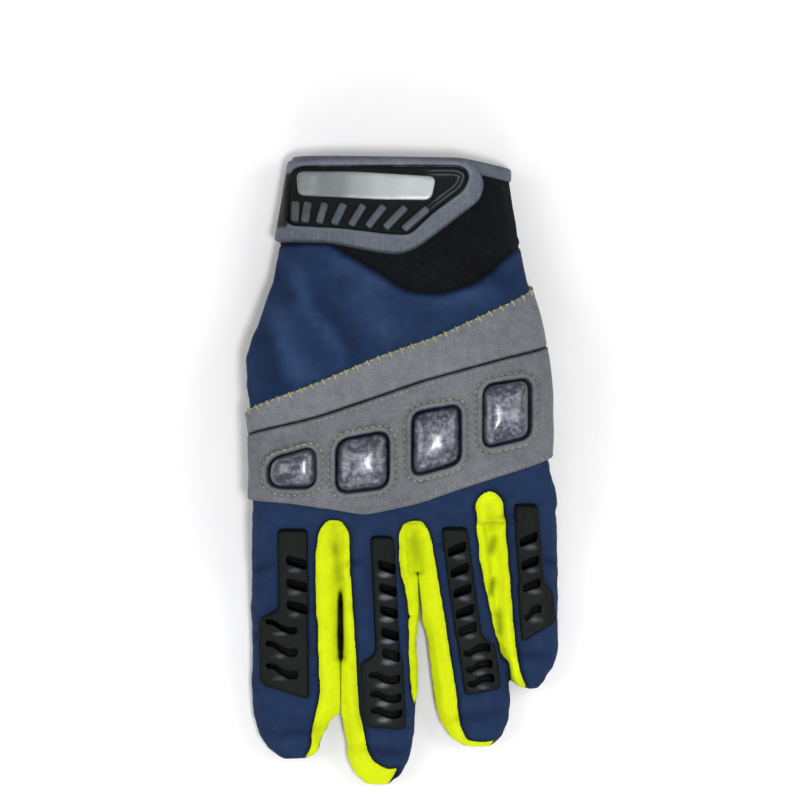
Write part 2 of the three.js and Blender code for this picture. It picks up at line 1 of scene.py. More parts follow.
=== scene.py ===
import bpy, bmesh, json, math, random
import numpy as np
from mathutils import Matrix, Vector, geometry, kdtree, noise
from mathutils.bvhtree import BVHTree

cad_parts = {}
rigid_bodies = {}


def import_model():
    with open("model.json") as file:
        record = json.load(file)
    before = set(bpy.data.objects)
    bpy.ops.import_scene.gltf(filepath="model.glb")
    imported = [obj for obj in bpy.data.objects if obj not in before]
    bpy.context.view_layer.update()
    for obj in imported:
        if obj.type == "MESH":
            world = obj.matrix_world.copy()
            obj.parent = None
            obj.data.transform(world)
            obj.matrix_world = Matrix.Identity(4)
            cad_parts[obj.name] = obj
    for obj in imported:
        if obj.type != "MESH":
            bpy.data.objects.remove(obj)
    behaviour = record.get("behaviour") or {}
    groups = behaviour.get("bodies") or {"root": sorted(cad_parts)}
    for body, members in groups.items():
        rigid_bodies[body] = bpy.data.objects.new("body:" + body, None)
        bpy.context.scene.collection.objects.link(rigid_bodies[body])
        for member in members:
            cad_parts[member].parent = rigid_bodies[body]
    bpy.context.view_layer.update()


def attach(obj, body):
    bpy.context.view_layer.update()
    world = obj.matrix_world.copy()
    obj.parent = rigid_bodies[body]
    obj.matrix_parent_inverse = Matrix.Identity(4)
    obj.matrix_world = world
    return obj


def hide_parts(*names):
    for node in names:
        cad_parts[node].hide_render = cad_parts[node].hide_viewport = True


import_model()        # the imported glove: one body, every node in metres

# Impact work glove for the left hand, lying on its palm, seen straight from above.
# X runs from thumb side to little finger, Y from fingertips to cuff, Z up. Sizes in metres.

random.seed(7)

mm = 0.001
restHeight = 0.05 * mm       # no cloth goes lower, so the floor stays clear
place = {"halfWidth": 0.06, "length": 0.25, "shiftX": -0.00041}


def plan(across, along):
    # a point seen from above, from shares of half the width and of the length
    return Vector((across * place["halfWidth"] + place["shiftX"], along * place["length"]))


# small helpers

def deselectAll():
    if bpy.context.object and bpy.context.object.mode != "OBJECT":
        bpy.ops.object.mode_set(mode="OBJECT")
    bpy.ops.object.select_all(action="DESELECT")


def makeActive(piece):
    deselectAll()
    piece.select_set(True)
    bpy.context.view_layer.objects.active = piece


def applyModifier(piece, kind, **settings):
    makeActive(piece)
    modifier = piece.modifiers.new(kind.title(), kind)
    for name, value in settings.items():
        setattr(modifier, name, value)
    bpy.ops.object.modifier_apply(modifier=modifier.name)


def newPiece(name, verts, faces):
    mesh = bpy.data.meshes.new(name)
    mesh.from_pydata([tuple(v) for v in verts], [], faces)
    mesh.validate()
    piece = bpy.data.objects.new(name, mesh)
    bpy.context.collection.objects.link(piece)
    return piece


def getPoints(piece):
    flat = np.empty(len(piece.data.vertices) * 3, np.float64)
    piece.data.vertices.foreach_get("co", flat)
    return flat.reshape(-1, 3)


def setPoints(piece, points):
    piece.data.vertices.foreach_set("co", points.astype(np.float32).ravel())
    piece.data.update()


def getEdges(piece):
    flat = np.empty(len(piece.data.edges) * 2, np.int32)
    piece.data.edges.foreach_get("vertices", flat)
    return flat.reshape(-1, 2)


def getNormals(piece):
    flat = np.empty(len(piece.data.vertices) * 3, np.float32)
    piece.data.vertex_normals.foreach_get("vector", flat)
    return flat.reshape(-1, 3).astype(np.float64)


def paint(piece, name, values):
    # one number for each point, read by the finishes
    layer = piece.data.attributes.new(name, "FLOAT", "POINT")
    layer.data.foreach_set("value", np.asarray(values, np.float32))


def neighbourMean(points, edges, count):
    total = np.zeros_like(points)
    for axis in range(points.shape[1]):
        total[:, axis] = np.bincount(edges[:, 0], points[edges[:, 1], axis], len(points))
        total[:, axis] += np.bincount(edges[:, 1], points[edges[:, 0], axis], len(points))
    return total / count[:, None]


def smoothPoints(points, edges, times, inward=0.5, outward=-0.52, free=None):
    # softens facets and keeps the size: a step inwards, then one outwards
    count = np.maximum(1, np.bincount(edges.ravel(), minlength=len(points))).astype(float)
    free = np.ones(len(points)) if free is None else free
    for _ in range(times):
        for step in (inward, outward):
            if step:
                points = points + (neighbourMean(points, edges, count) - points) * step * free[:, None]
    return points


def fade(value, start, end):
    # 0 at start, 1 at end, soft at both
    t = np.clip((value - start) / (end - start), 0, 1)
    return t * t * (3 - 2 * t)


def bell(value, middle, width):
    # 1 at the middle, fading to both sides
    return np.exp(-((value - middle) / width) ** 2)


def valueAt(table, at):
    # reads a table of (at, value) rows, straight between two rows
    return np.interp(at, *zip(*table))


def shadeSmooth(piece, degrees=40):
    makeActive(piece)
    bpy.ops.object.shade_smooth_by_angle(angle=math.radians(degrees), keep_sharp_edges=False)


def finishPiece(piece, slot, *nodes):
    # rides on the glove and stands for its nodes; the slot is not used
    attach(piece, "root")
    if nodes:
        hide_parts(*nodes)


# outlines seen from above, all in metres

def outlineOf(shares):
    return [plan(across, along) for across, along in shares]


def roundCorners(corners, radius, steps=8):
    # a closed polygon with its corners rounded, radius one number or one for each corner
    line = []
    for i, corner in enumerate(corners):
        before, after = corners[i - 1], corners[(i + 1) % len(corners)]
        size = radius[i] if hasattr(radius, "__len__") else radius
        reach = min(size, (corner - before).length * 0.48, (corner - after).length * 0.48)
        start = corner + (before - corner).normalized() * reach
        end = corner + (after - corner).normalized() * reach
        for step in range(steps + 1):
            t = step / steps
            line.append(start.lerp(corner, t).lerp(corner.lerp(end, t), t))
    return line


def evenly(line, spacing, closed=True):
    # the same line with points at even steps
    points = np.array([tuple(p) for p in line])
    if closed:
        points = np.vstack([points, points[:1]])
    length = np.concatenate([[0], np.cumsum(np.linalg.norm(np.diff(points, axis=0), axis=1))])
    count = max(3, int(round(length[-1] / spacing)))
    at = np.linspace(0, length[-1], count + 1)
    if closed:
        at = at[:-1]
    return np.stack([np.interp(at, length, points[:, k]) for k in range(points.shape[1])], axis=1)


def areaOf(polygon):
    x, y = polygon[:, 0], polygon[:, 1]
    return 0.5 * float(np.sum(x * np.roll(y, -1) - np.roll(x, -1) * y))


def offsetLine(polygon, distance):
    # a closed dense polygon moved outwards, or inwards by a negative distance
    along = np.roll(polygon, -1, axis=0) - np.roll(polygon, 1, axis=0)
    along /= np.maximum(1e-9, np.linalg.norm(along, axis=1))[:, None]
    outward = np.stack([along[:, 1], -along[:, 0]], axis=1) * (1 if areaOf(polygon) > 0 else -1)
    return polygon + outward * distance


def softOutline(shares, radius, spacing):
    # a closed outline with rounded corners and points at even steps
    return evenly(roundCorners(outlineOf(shares), radius), spacing)


def insets(polygon, *distances):
    # the same outline several times, each as many mm further in
    return [offsetLine(polygon, -d * mm) for d in distances]


def insideOf(points, polygon):
    x, y = points[:, 0][:, None], points[:, 1][:, None]
    ax, ay = polygon[:, 0][None], polygon[:, 1][None]
    bx, by = np.roll(polygon[:, 0], -1)[None], np.roll(polygon[:, 1], -1)[None]
    crosses = (ay > y) != (by > y)
    reach = (bx - ax) * (y - ay) / np.where(by == ay, 1e-12, by - ay) + ax
    return (crosses & (x < reach)).sum(axis=1) % 2 == 1


def depthIn(points, polygon):
    # distance to the outline, positive inside
    a, b = polygon[None], np.roll(polygon, -1, axis=0)[None]
    best = np.full(len(points), 1e9)
    for start in range(0, len(points), 4000):
        p = points[start:start + 4000, None, :2]
        ab = b - a
        t = np.clip(((p - a) * ab).sum(2) / np.maximum(1e-15, (ab * ab).sum(2)), 0, 1)
        gap = p - (a + ab * t[..., None])
        best[start:start + 4000] = np.sqrt((gap * gap).sum(2)).min(axis=1)
    return np.where(insideOf(points, polygon), best, -best)


# the camera hangs over the glove

cameraSpot = {"x": -0.001, "y": 0.0278, "height": 1.6, "lens": 177}
cameraData = bpy.data.cameras.new("camera")
cameraData.lens = cameraSpot["lens"]
cameraData.sensor_width = 36
cameraData.clip_end = 10
camera = bpy.data.objects.new("camera", cameraData)
camera.location = (cameraSpot["x"], cameraSpot["y"], cameraSpot["height"])
bpy.context.collection.objects.link(camera)
bpy.context.scene.camera = camera
print("camera set")

# one soft skin over all the cloth

skinSpec = {
    "voxel": 0.95 * mm,      # grain of the remeshed skin
    "smoothing": 70,         # rounds that melt the facets
    "swell": 0.22 * mm,      # closes the gaps between the panels before the remesh
    "rim": 0.118,            # the cuff's mouth lies beyond this
    "strays": 6,             # rounds that hand stray faces to the panel round them
}
clothNodes = ["hand_back", "finger_panel", "palm_panel", "cuff", "thumb_back", "thumb_front",
              "fourchette_index_middle", "fourchette_middle_ring", "fourchette_ring_pinky"]


def copyNodes(name, nodes, swell=0):
    # the nodes' own solids as one new mesh, doubles merged, each swollen a little to close the seams
    joined = bmesh.new()
    for node in nodes:
        joined.from_mesh(bpy.data.objects[node].data)
    bmesh.ops.remove_doubles(joined, verts=joined.verts, dist=0.005 * mm)
    joined.normal_update()
    for v, shift in [(v, v.normal * swell) for v in joined.verts]:
        v.co += shift
    mesh = bpy.data.meshes.new(name)
    joined.to_mesh(mesh)
    joined.free()
    piece = bpy.data.objects.new(name, mesh)
    bpy.context.collection.objects.link(piece)
    return piece


def plugMouth(piece, beyond):
    # closes the cuff's mouth with the hull of its rim, so that the hollow is sealed
    mesh = bmesh.new()
    mesh.from_mesh(piece.data)
    rim = [v.co.copy() for v in mesh.verts if v.co.y > beyond]
    rim += [co - Vector((0, 3 * mm, 0)) for co in rim]
    plug = [mesh.verts.new(co) for co in rim]
    hull = bmesh.ops.convex_hull(mesh, input=plug)
    spare = [v for v in hull["geom_interior"] if isinstance(v, bmesh.types.BMVert)]
    bmesh.ops.delete(mesh, geom=spare, context="VERTS")
    bmesh.ops.recalc_face_normals(mesh, faces=[f for f in mesh.faces if all(v in plug for v in f.verts)])
    mesh.to_mesh(piece.data)
    mesh.free()


def largestShell(piece):
    # keeps the outer surface of a remeshed wall
    makeActive(piece)
    bpy.ops.object.mode_set(mode="EDIT")
    bpy.ops.mesh.select_all(action="SELECT")
    bpy.ops.mesh.separate(type="LOOSE")
    bpy.ops.object.mode_set(mode="OBJECT")
    shells = sorted(bpy.context.selected_objects, key=lambda o: -o.dimensions.length)
    print("shells", [(round(o.dimensions.length, 4), len(o.data.vertices)) for o in shells[:6]])
    for other in shells[1:]:
        bpy.data.objects.remove(other)
    return shells[0]


skin = copyNodes("skin", clothNodes, skinSpec["swell"])
plugMouth(skin, skinSpec["rim"])
applyModifier(skin, "REMESH", mode="VOXEL", voxel_size=skinSpec["voxel"], adaptivity=0)
skin = largestShell(skin)
skin.name = "skin"
skinEdges = getEdges(skin)
skinPoints = smoothPoints(getPoints(skin), skinEdges, skinSpec["smoothing"])
setPoints(skin, skinPoints)
print("skin remeshed", len(skinPoints))


def treeOf(piece):
    mesh = piece.data
    return BVHTree.FromPolygons([v.co.copy() for v in mesh.vertices],
                                [tuple(f.vertices) for f in mesh.polygons])


# which panel each face of the skin belongs to: the nearest node says
nodeVerts, nodeFaces, faceNode = [], [], []
for index, node in enumerate(clothNodes):
    mesh = bpy.data.objects[node].data
    base = len(nodeVerts)
    nodeVerts += [v.co.copy() for v in mesh.vertices]
    nodeFaces += [tuple(base + i for i in f.vertices) for f in mesh.polygons]
    faceNode += [index] * len(mesh.polygons)
nodeTree = BVHTree.FromPolygons(nodeVerts, nodeFaces)
faceCount = len(skin.data.polygons)
centres = np.empty(faceCount * 3)
skin.data.polygons.foreach_get("center", centres)
centres = centres.reshape(-1, 3)
panelOf = np.array([faceNode[nodeTree.find_nearest(Vector(c))[2]] for c in centres])
loopVerts = np.empty(len(skin.data.loops), np.int32)
skin.data.loops.foreach_get("vertex_index", loopVerts)
faceVerts = loopVerts.reshape(-1, 4)


def edgeFaces():
    # the two faces beside each edge
    loopEdges = np.empty(len(skin.data.loops), np.int32)
    skin.data.loops.foreach_get("edge_index", loopEdges)
    order = np.argsort(loopEdges, kind="stable")
    return (order // 4).reshape(-1, 2)


beside = edgeFaces()
for _ in range(skinSpec["strays"]):
    votes = np.zeros((faceCount, len(clothNodes)), np.int32)
    np.add.at(votes, (beside[:, 0], panelOf[beside[:, 1]]), 1)
    np.add.at(votes, (beside[:, 1], panelOf[beside[:, 0]]), 1)
    most = votes.argmax(axis=1)
    panelOf = np.where(votes.max(axis=1) >= 3, most, panelOf)

# the fingertips taper and lean: between two lines x, the sides turn over at two more, and the left
# side, the right side and the tip move by an amount that changes with y, all in mm
tipShapes = {
    "index": {"between": (-70, -26), "turn": (-38, -30), "left": [(0, 0)], "down": [(0, 0)],
              "right": [(-118, -0.5), (-112.5, -2.6), (-108, -4.2), (-100, -2.8), (-96, -1.0), (-90, 0)]},
    "middle": {"between": (-26, 10.5), "turn": (-14, 4), "down": [(-123, -2), (-112, 0)],
               "left": [(-125, -2.8), (-118, -2.2), (-112, -0.6), (-104, 0)],
               "right": [(-125, -2.8), (-118, -2.4), (-108, -2.4), (-100, -1.9), (-95, -1.1), (-88, 0)]},
    "ring": {"between": (10.5, 43), "turn": (22, 36), "down": [(-109, -1), (-103, 0)],
             "left": [(-108, -2.2), (-102, -1.5), (-92, 0)], "right": [(0, 0)]},
    "pinky": {"between": (43, 70), "turn": (50, 58), "left": [(0, 0)], "down": [(0, 0)],
              "right": [(-88, -1.5), (-83, -2.6), (-77, -0.8), (-70, 0), (-60, 0.3), (-52, 1.2), (-38, 2.2),
                        (-20, 2.8), (-6, 2.0), (6, 0)]},
}


def shapeTips(points):
    x, y = points[:, 0] / mm, points[:, 1] / mm
    moved = points.copy()
    for shape in tipShapes.values():
        mine = (x >= shape["between"][0]) & (x < shape["between"][1]) & (y < 6)
        toRight = fade(x, *shape["turn"])
        side = valueAt(shape["left"], y) * (1 - toRight) + valueAt(shape["right"], y) * toRight
        moved[mine, 0] += side[mine] * mm
        moved[mine, 1] += valueAt(shape["down"], y[mine]) * mm
    return moved


skinPoints = shapeTips(skinPoints)
setPoints(skin, skinPoints)
skin.data.polygons.foreach_get("center", centres.reshape(-1))

# where the bright walls end round the tips, in mm: the edge of the back cloth seen from above
backEdges = {
    "middleLeft": [(-119, -11.5), (-115.8, -13), (-112.5, -14.6), (-106.5, -15.6), (-99.8, -17)],
    "middleFoot": [(-14, -116.5), (-8, -121), (-5, -121.8), (-1.5, -120.6), (1, -118.2), (3, -115.4),
                   (5, -111)],
    "middleRight": [(-97.4, 5.9), (-91.4, 3.9), (-68, 3.0), (-55.7, 2.6), (-49, 1.5), (-41, -0.5),
                    (-34, -1.8)],
    "ringFoot": -110.4,
    "ringRight": [(-133, 49.52), (-77, 42.8)],
}


def isOn(panel):
    return panelOf == clothNodes.index(panel)


def handOver(faces, panel):
    panelOf[faces] = clothNodes.index(panel)


def between(value, low, high):
    return (value > low) & (value < high)


faceX, faceY = centres[:, 0] / mm, centres[:, 1] / mm
onBack = isOn("finger_panel")
pastEdge = faceX < valueAt(backEdges["middleLeft"], faceY)
pastEdge |= faceY < valueAt(backEdges["middleFoot"], faceX)
handOver(onBack & between(faceX, -26, 10) & (faceY < -100) & pastEdge, "fourchette_index_middle")
handOver(onBack & between(faceX, 10.5, 42) & (faceY < backEdges["ringFoot"]), "fourchette_middle_ring")
pastEdge = (faceX < valueAt(backEdges["middleRight"], faceY)) | (faceY < backEdges["middleRight"][0][0])
handOver(isOn("fourchette_middle_ring") & (faceX < 10) & (faceY < -34) & pastEdge, "finger_panel")
pastEdge = (faceY < -77) & (faceX < valueAt(backEdges["ringRight"], faceY))
handOver(isOn("fourchette_ring_pinky") & pastEdge, "finger_panel")

# seams run smoothly between the panels
seamSpec = {"rounds": 14, "pull": 0.5, "besideRounds": 6}
smoothTree = treeOf(skin)
onSeam = panelOf[beside[:, 0]] != panelOf[beside[:, 1]]
seamEdges = skinEdges[onSeam]
isSeam = np.zeros(len(skinPoints), bool)
isSeam[seamEdges.ravel()] = True
seamCount = np.maximum(1, np.bincount(seamEdges.ravel(), minlength=len(skinPoints))).astype(float)
for _ in range(seamSpec["rounds"]):
    mean = neighbourMean(skinPoints, seamEdges, seamCount)
    skinPoints[isSeam] += (mean[isSeam] - skinPoints[isSeam]) * seamSpec["pull"]
seamNeighbours = np.bincount(skinEdges.ravel(), isSeam[skinEdges[:, ::-1].ravel()], len(skinPoints))
besideSeam = (~isSeam).astype(float) * (seamNeighbours > 0)
skinPoints = smoothPoints(skinPoints, skinEdges, seamSpec["besideRounds"], outward=0, free=besideSeam)
for i in np.unique(np.concatenate([seamEdges.ravel(), skinEdges[isSeam[skinEdges].any(axis=1)].ravel()])):
    skinPoints[i] = smoothTree.find_nearest(Vector(skinPoints[i]))[0]        # back onto the shape
setPoints(skin, skinPoints)
print("seams drawn", int(isSeam.sum()))

# laying pieces on the skin

wrapSpec = {
    "low": -0.024, "high": 0.1249, "rowStep": 1.5 * mm,      # from the knuckles to the cuff's mouth
    "side": 11 * mm,                                         # where the top run turns into the side
    "reach": 92 * mm, "step": 0.75 * mm,                     # across, unrolled from the middle
}
coreHeight = [(-0.040, 0.020), (-0.018, 0.022), (0.0, 0.0245), (0.050, 0.025), (0.0575, 0.0235),
              (0.075, 0.0197), (0.090, 0.0165), (0.105, 0.0140), (0.130, 0.0140)]


def sectionAt(y):
    # the skin's section from the top centre round both sides, unrolled: reach, points
    core = float(valueAt(coreHeight, y))
    halves = []
    for way in (-1, 1):
        side = smoothTree.ray_cast(Vector((way * 0.1, y, core)), Vector((-way, 0, 0)))[0]
        run = abs(side.x) - wrapSpec["side"]
        rays = [(way * run * t, 0.0) for t in np.linspace(0, 1, 34)]
        rays += [(way * run, turn) for turn in np.linspace(0, math.pi, 44)[1:]]
        rays += [(way * run * t, math.pi) for t in np.linspace(1, 0, 20)[1:]]
        line = []
        for x, turn in rays:
            inward = Vector((-way * math.sin(turn), 0, -math.cos(turn)))
            line.append(smoothTree.ray_cast(Vector((x, y, core)) - inward * 0.08, inward)[0])
        reach = [abs(p.x) for p in line[:34]]
        for before, after in zip(line[33:], line[34:]):
            reach.append(reach[-1] + (after - before).length)
        halves.append((np.array(reach), np.array([tuple(p) for p in line])))
    return halves


rowsY = np.arange(wrapSpec["low"], wrapSpec["high"], wrapSpec["rowStep"])
acrossU = np.arange(-wrapSpec["reach"], wrapSpec["reach"] + 1e-9, wrapSpec["step"])
wrapPoints = np.zeros((len(rowsY), len(acrossU), 3))
rings = []                                       # the whole section of each row, for the bound edge
for row, y in enumerate(rowsY):
    (leftReach, leftLine), (rightReach, rightLine) = sectionAt(float(y))
    reach = np.concatenate([-leftReach[::-1], rightReach[1:]])
    line = np.concatenate([leftLine[::-1], rightLine[1:]])
    rings.append((leftLine, rightLine))
    for k in range(3):
        wrapPoints[row, :, k] = np.interp(acrossU, reach, line[:, k])


def evenGrid(grid, rounds, pull=0.22):
    # evens out the grain of the remesh
    for _ in range(rounds):
        grid[1:-1] += (grid[2:] + grid[:-2] - 2 * grid[1:-1]) * pull
        grid[:, 1:-1] += (grid[:, 2:] + grid[:, :-2] - 2 * grid[:, 1:-1]) * pull


evenGrid(wrapPoints, 4)


def gridNormals(grid):
    alongU = np.gradient(grid, axis=1)
    alongY = np.gradient(grid, axis=0)
    normals = np.cross(alongU, alongY)
    return normals / np.maximum(1e-12, np.linalg.norm(normals, axis=2))[..., None]


wrapNormals = gridNormals(wrapPoints)


def sample(grid, rowAt, columnAt):
    row = np.clip(rowAt, 0, grid.shape[0] - 1.001)
    column = np.clip(columnAt, 0, grid.shape[1] - 1.001)
    r, c = row.astype(int), column.astype(int)
    fr, fc = (row - r)[:, None], (column - c)[:, None]
    return ((grid[r, c] * (1 - fc) + grid[r, c + 1] * fc) * (1 - fr) +
            (grid[r + 1, c] * (1 - fc) + grid[r + 1, c + 1] * fc) * fr)


def layOn(grid, normalGrid, rowAt, columnAt, height, leastUp=-1.0):
    normals = sample(normalGrid, rowAt, columnAt)
    normals[:, 2] = np.maximum(normals[:, 2], leastUp)
    normals /= np.linalg.norm(normals, axis=1)[:, None]
    return sample(grid, rowAt, columnAt) + normals * np.asarray(height)[:, None]


def onHand(flat, height):
    # points (across unrolled, along) laid on the hand, at a height over the skin
    rowAt = (flat[:, 1] - rowsY[0]) / wrapSpec["rowStep"]
    columnAt = (flat[:, 0] - acrossU[0]) / wrapSpec["step"]
    return layOn(wrapPoints, wrapNormals, rowAt, columnAt, height)


# the fingers' backs as a height map, seen from above
mapSpec = {"x": (-0.064, 0.064), "y": (-0.127, 0.006), "step": 0.75 * mm, "empty": 0.006, "leastUp": 0.35}
fingerX = np.arange(*mapSpec["x"], mapSpec["step"])
fingerY = np.arange(*mapSpec["y"], mapSpec["step"])
fingerTop = np.zeros((len(fingerY), len(fingerX), 3))
for row, y in enumerate(fingerY):
    for column, x in enumerate(fingerX):
        hit = smoothTree.ray_cast(Vector((x, y, 0.1)), Vector((0, 0, -1)))[0]
        fingerTop[row, column] = (x, y, hit.z if hit else mapSpec["empty"])
evenGrid(fingerTop[:, :, 2:], 3)
fingerNormals = gridNormals(fingerTop)


def onFingers(flat, height):
    # points seen from above, laid on the fingers' backs
    rowAt = (flat[:, 1] - fingerY[0]) / mapSpec["step"]
    columnAt = (flat[:, 0] - fingerX[0]) / mapSpec["step"]
    return layOn(fingerTop, fingerNormals, rowAt, columnAt, height, mapSpec["leastUp"])


print("skin mapped")


def patch(name, outline, contours, heightAt, lay, toneAt=None, openings=(), spacing=1.1 * mm,
          under=0.12 * mm):
    # a closed piece lying on the skin: cut out along its outline, its contours as clean rows of
    # edges, heightAt(points) says how high its top stands, toneAt(points) how light it is, and
    # openings are cut right through
    low, high = outline.min(axis=0), outline.max(axis=0)
    ring = [outline] + list(contours) + list(openings)
    columns = np.arange(low[0], high[0], spacing)
    rows = np.arange(low[1], high[1], spacing * 0.87)
    filling = np.array([(x + (i % 2) * spacing / 2, y) for i, y in enumerate(rows) for x in columns])
    filling = filling[depthIn(filling, outline) > spacing * 0.55]
    for line in contours:
        filling = filling[np.abs(depthIn(filling, line)) > spacing * 0.5]
    for line in openings:
        filling = filling[depthIn(filling, line) < -spacing * 0.5]
    verts, edges = [], []
    for line in ring:
        base = len(verts)
        verts += [Vector(p) for p in line]
        edges += [(base + i, base + (i + 1) % len(line)) for i in range(len(line))]
    verts += [Vector(p) for p in filling]
    made = geometry.delaunay_2d_cdt(verts, edges, [], 0, 1e-6)
    flat = np.array([tuple(v) for v in made[0]])
    faces = np.array([f for f in made[2]])
    middle = flat[faces].mean(axis=1)
    keep = insideOf(middle, outline)
    for line in openings:
        keep &= ~insideOf(middle, line)
    faces = faces[keep]
    used = np.unique(faces)
    renumber = np.full(len(flat), -1)
    renumber[used] = np.arange(len(used))
    flat, faces = flat[used], renumber[faces]
    turn = np.cross(flat[faces[:, 1]] - flat[faces[:, 0]], flat[faces[:, 2]] - flat[faces[:, 0]])
    faces[turn < 0] = faces[turn < 0][:, ::-1]
    top = lay(flat, heightAt(flat))
    bottom = lay(flat, np.full(len(flat), under))
    count = len(flat)
    sides = {}
    for a, b, c in faces:
        for pair in ((a, b), (b, c), (c, a)):
            if (pair[1], pair[0]) in sides:
                del sides[(pair[1], pair[0])]
            else:
                sides[pair] = True
    allFaces = [tuple(f) for f in faces] + [tuple(f[::-1] + count) for f in faces]
    allFaces += [(b, a, a + count, b + count) for a, b in sides]
    piece = newPiece(name, np.vstack([top, bottom]), allFaces)
    paint(piece, "tone", np.tile(toneAt(flat), 2) if toneAt else np.full(2 * count, 0.5))
    shadeSmooth(piece, 48)
    return piece


def roundedTop(depth, top, radius, start=0.4):
    # a profile that rises in a quarter circle from start times its height at the edge
    t = np.clip(depth / radius, 0, 1)
    return top * (start + (1 - start) * np.sqrt(np.maximum(0, 1 - (1 - t) ** 2)))


# panels with seams, folds and walls

clothSpec = {
    "seamDepth": 0.5 * mm, "seamWidth": 0.8 * mm, "puff": 0.25 * mm, "pucker": 0.4 * mm,
    "swell": [(0.020, 0.5 * mm), (0.0075, 0.28 * mm)],       # wave length and height of soft unevenness
    "puffAway": 2.2 * mm, "puffWidth": 1.2 * mm, "puckerLength": 3.2 * mm, "puckerWidth": 3 * mm,
    "wall": 1.2 * mm, "pressed": 0.15 * mm, "wallRounds": 40,
    "foldShading": 0.2, "creaseShade": 0.6,                      # how strongly painted light and shade follow the folds, and how far painted shade darkens the creases and seams
    "seamPaintedShade": {"navy_cloth": 0.45, "yellow_cloth": 0.05, "black_leather": 0.2, "black_neoprene": 0.2},
    "seamShade": 1.4 * mm,
}
# what lies on the cloth: how its edges fade, the lowest height it covers, and the strap's foot
coverSpec = {"foot": (-2 * mm, 1 * mm), "top": (-1 * mm, 2 * mm), "low": 0.017, "strap": (0.093, 0.099)}
# folds of the back: from, to (across, along), half width and height in mm; the height also paints painted
# light on the ridges and painted shade in the valleys
backFolds = [
    ((-0.71, 0.315), (-0.40, 0.190), 5.0, 1.1),
    ((-0.60, 0.290), (-0.30, 0.185), 4.2, -1.2),
    ((-0.86, 0.245), (-0.62, 0.135), 5.5, 0.9),
    ((-0.98, 0.235), (-0.78, 0.120), 4.5, -1.0),
    ((-0.30, 0.290), (-0.05, 0.215), 5.5, 0.7),
    ((0.20, 0.265), (0.62, 0.285), 4.0, 0.7),
    ((0.45, 0.330), (0.76, 0.300), 4.0, -0.7),
    ((-0.50, 0.345), (-0.12, 0.290), 3.6, 0.7),
    ((-0.88, 0.320), (-0.70, 0.270), 4.0, -0.9),
]
# folds of the walls between the fingers: from, to, half width, height in mm, and how much painted shade
# darkens them (painted light where below 0)
wallFolds = [
    ((-27.0, -30.0), (-25.4, -48.0), 1.7, -0.7, 0.2), ((-25.0, -51.0), (-25.0, -70.0), 0.9, -6.0, 1.2),
    ((-25.0, -66.0), (-25.0, -94.0), 1.1, -1.6, 0.8), ((-27.5, -22.0), (-26.5, -34.0), 3.0, -0.4, 0.13),
    ((4.4, -26.0), (5.8, -41.0), 1.8, -0.5, 0.14), ((5.9, -42.0), (6.6, -46.5), 1.0, -1.6, 1.0),
    ((4.0, -22.0), (5.4, -34.0), 3.2, -0.4, 0.1), ((34.6, -14.0), (36.0, -26.0), 2.2, -0.5, 0.12),
    ((36.8, -27.0), (35.4, -34.0), 1.7, -0.6, 0.26), ((36.6, -44.0), (35.6, -51.0), 1.5, -0.6, 0.28),
    ((38.4, -57.0), (39.4, -67.0), 1.6, -0.6, 0.26), ((41.0, -60.0), (45.5, -84.0), 1.8, 0.4, -0.06),
]
# gaps between two fingers that their walls close again: top, foot, and how far each wall comes over
closedGaps = [((6.2, -43.0), (7.9, -57.0), 2.2), ((-24.8, -78.0), (-25.0, -97.0), 1.7)]
gapSpec = {
    "above": (2, -1), "below": (-14, 3),                     # mm from its top and foot, faded over
    "near": 1.5 * mm, "far": 7 * mm, "left": 0.1 * mm,       # how far the pull reaches, what stays open
    # painted shade in the slit: how dark, and the widths over which it fades
    "dark": 0.55, "darkWidth": (0.2 * mm, 1.9 * mm),
}
# creases of the fingers: centre (across, along), half length and half width in mm, slant, depth; the depth
# also sets painted shade in the crease
fingerCreases = [
    ((-0.95, -0.160), 7, 1.6, 0.25, -0.4), ((-0.95, -0.270), 7, 1.8, 0.2, -0.45),
    ((-0.32, -0.150), 4, 1.6, 0.3, -0.35), ((0.29, -0.120), 4, 1.6, 0.2, -0.35),
    ((0.70, -0.075), 4, 1.5, 0.2, -0.3), ((1.0, -0.150), 4, 1.6, -0.3, -0.4),
    ((-0.70, -0.425), 12, 2.0, 0.1, -0.3), ((-0.11, -0.455), 10, 2.0, -0.1, -0.3),
    ((0.50, -0.400), 10, 2.0, 0.1, -0.3), ((0.87, -0.300), 8, 1.8, -0.1, -0.3),
]


def strokeShare(flat, start, end, halfWidth, wave=0.0):
    # 1 along the line between two points, fading at its sides and ends
    a, b = np.array(start), np.array(end)
    along = (b - a) / np.linalg.norm(b - a)
    reach = (flat - a) @ along / np.linalg.norm(b - a)
    side = (flat - a) @ np.array([-along[1], along[0]])
    side = side + np.sin(reach * 5 + wave * 9) * halfWidth * 0.3 * min(1, abs(wave))
    ends = fade(reach, -0.25, 0.25) * (1 - fade(reach, 0.75, 1.25))
    return ends * bell(side, 0, halfWidth)


def creaseHeight(flat, centre, halfLength, halfWidth, slant, height):
    offset = flat - np.array(plan(*centre))
    x = offset[:, 0] + offset[:, 1] * slant
    y = offset[:, 1] - offset[:, 0] * slant
    return height * mm * np.exp(-(x / (halfLength * mm)) ** 2 - (y / (halfWidth * mm)) ** 2)


def noiseAt(points, length, seed=0.0):
    return np.array([noise.noise(Vector((x / length + seed, y / length, z / length))) for x, y, z in points])


guardTop = outlineOf([(-1.4, 0.066), (-0.583, 0.137), (-0.163, 0.18), (0.257, 0.215), (0.817, 0.278),
                      (1.4, 0.342)])
guardFold = outlineOf([(-1.4, 0.037), (-0.583, 0.082), (-0.163, 0.116), (0.123, 0.14), (0.683, 0.177),
                       (1.4, 0.217)])
guardFoot = outlineOf([(-1.4, -0.043), (-0.723, -0.054), (-0.443, -0.062), (-0.243, -0.071),
                       (0.123, -0.052), (0.543, -0.018), (1.4, 0.046)])


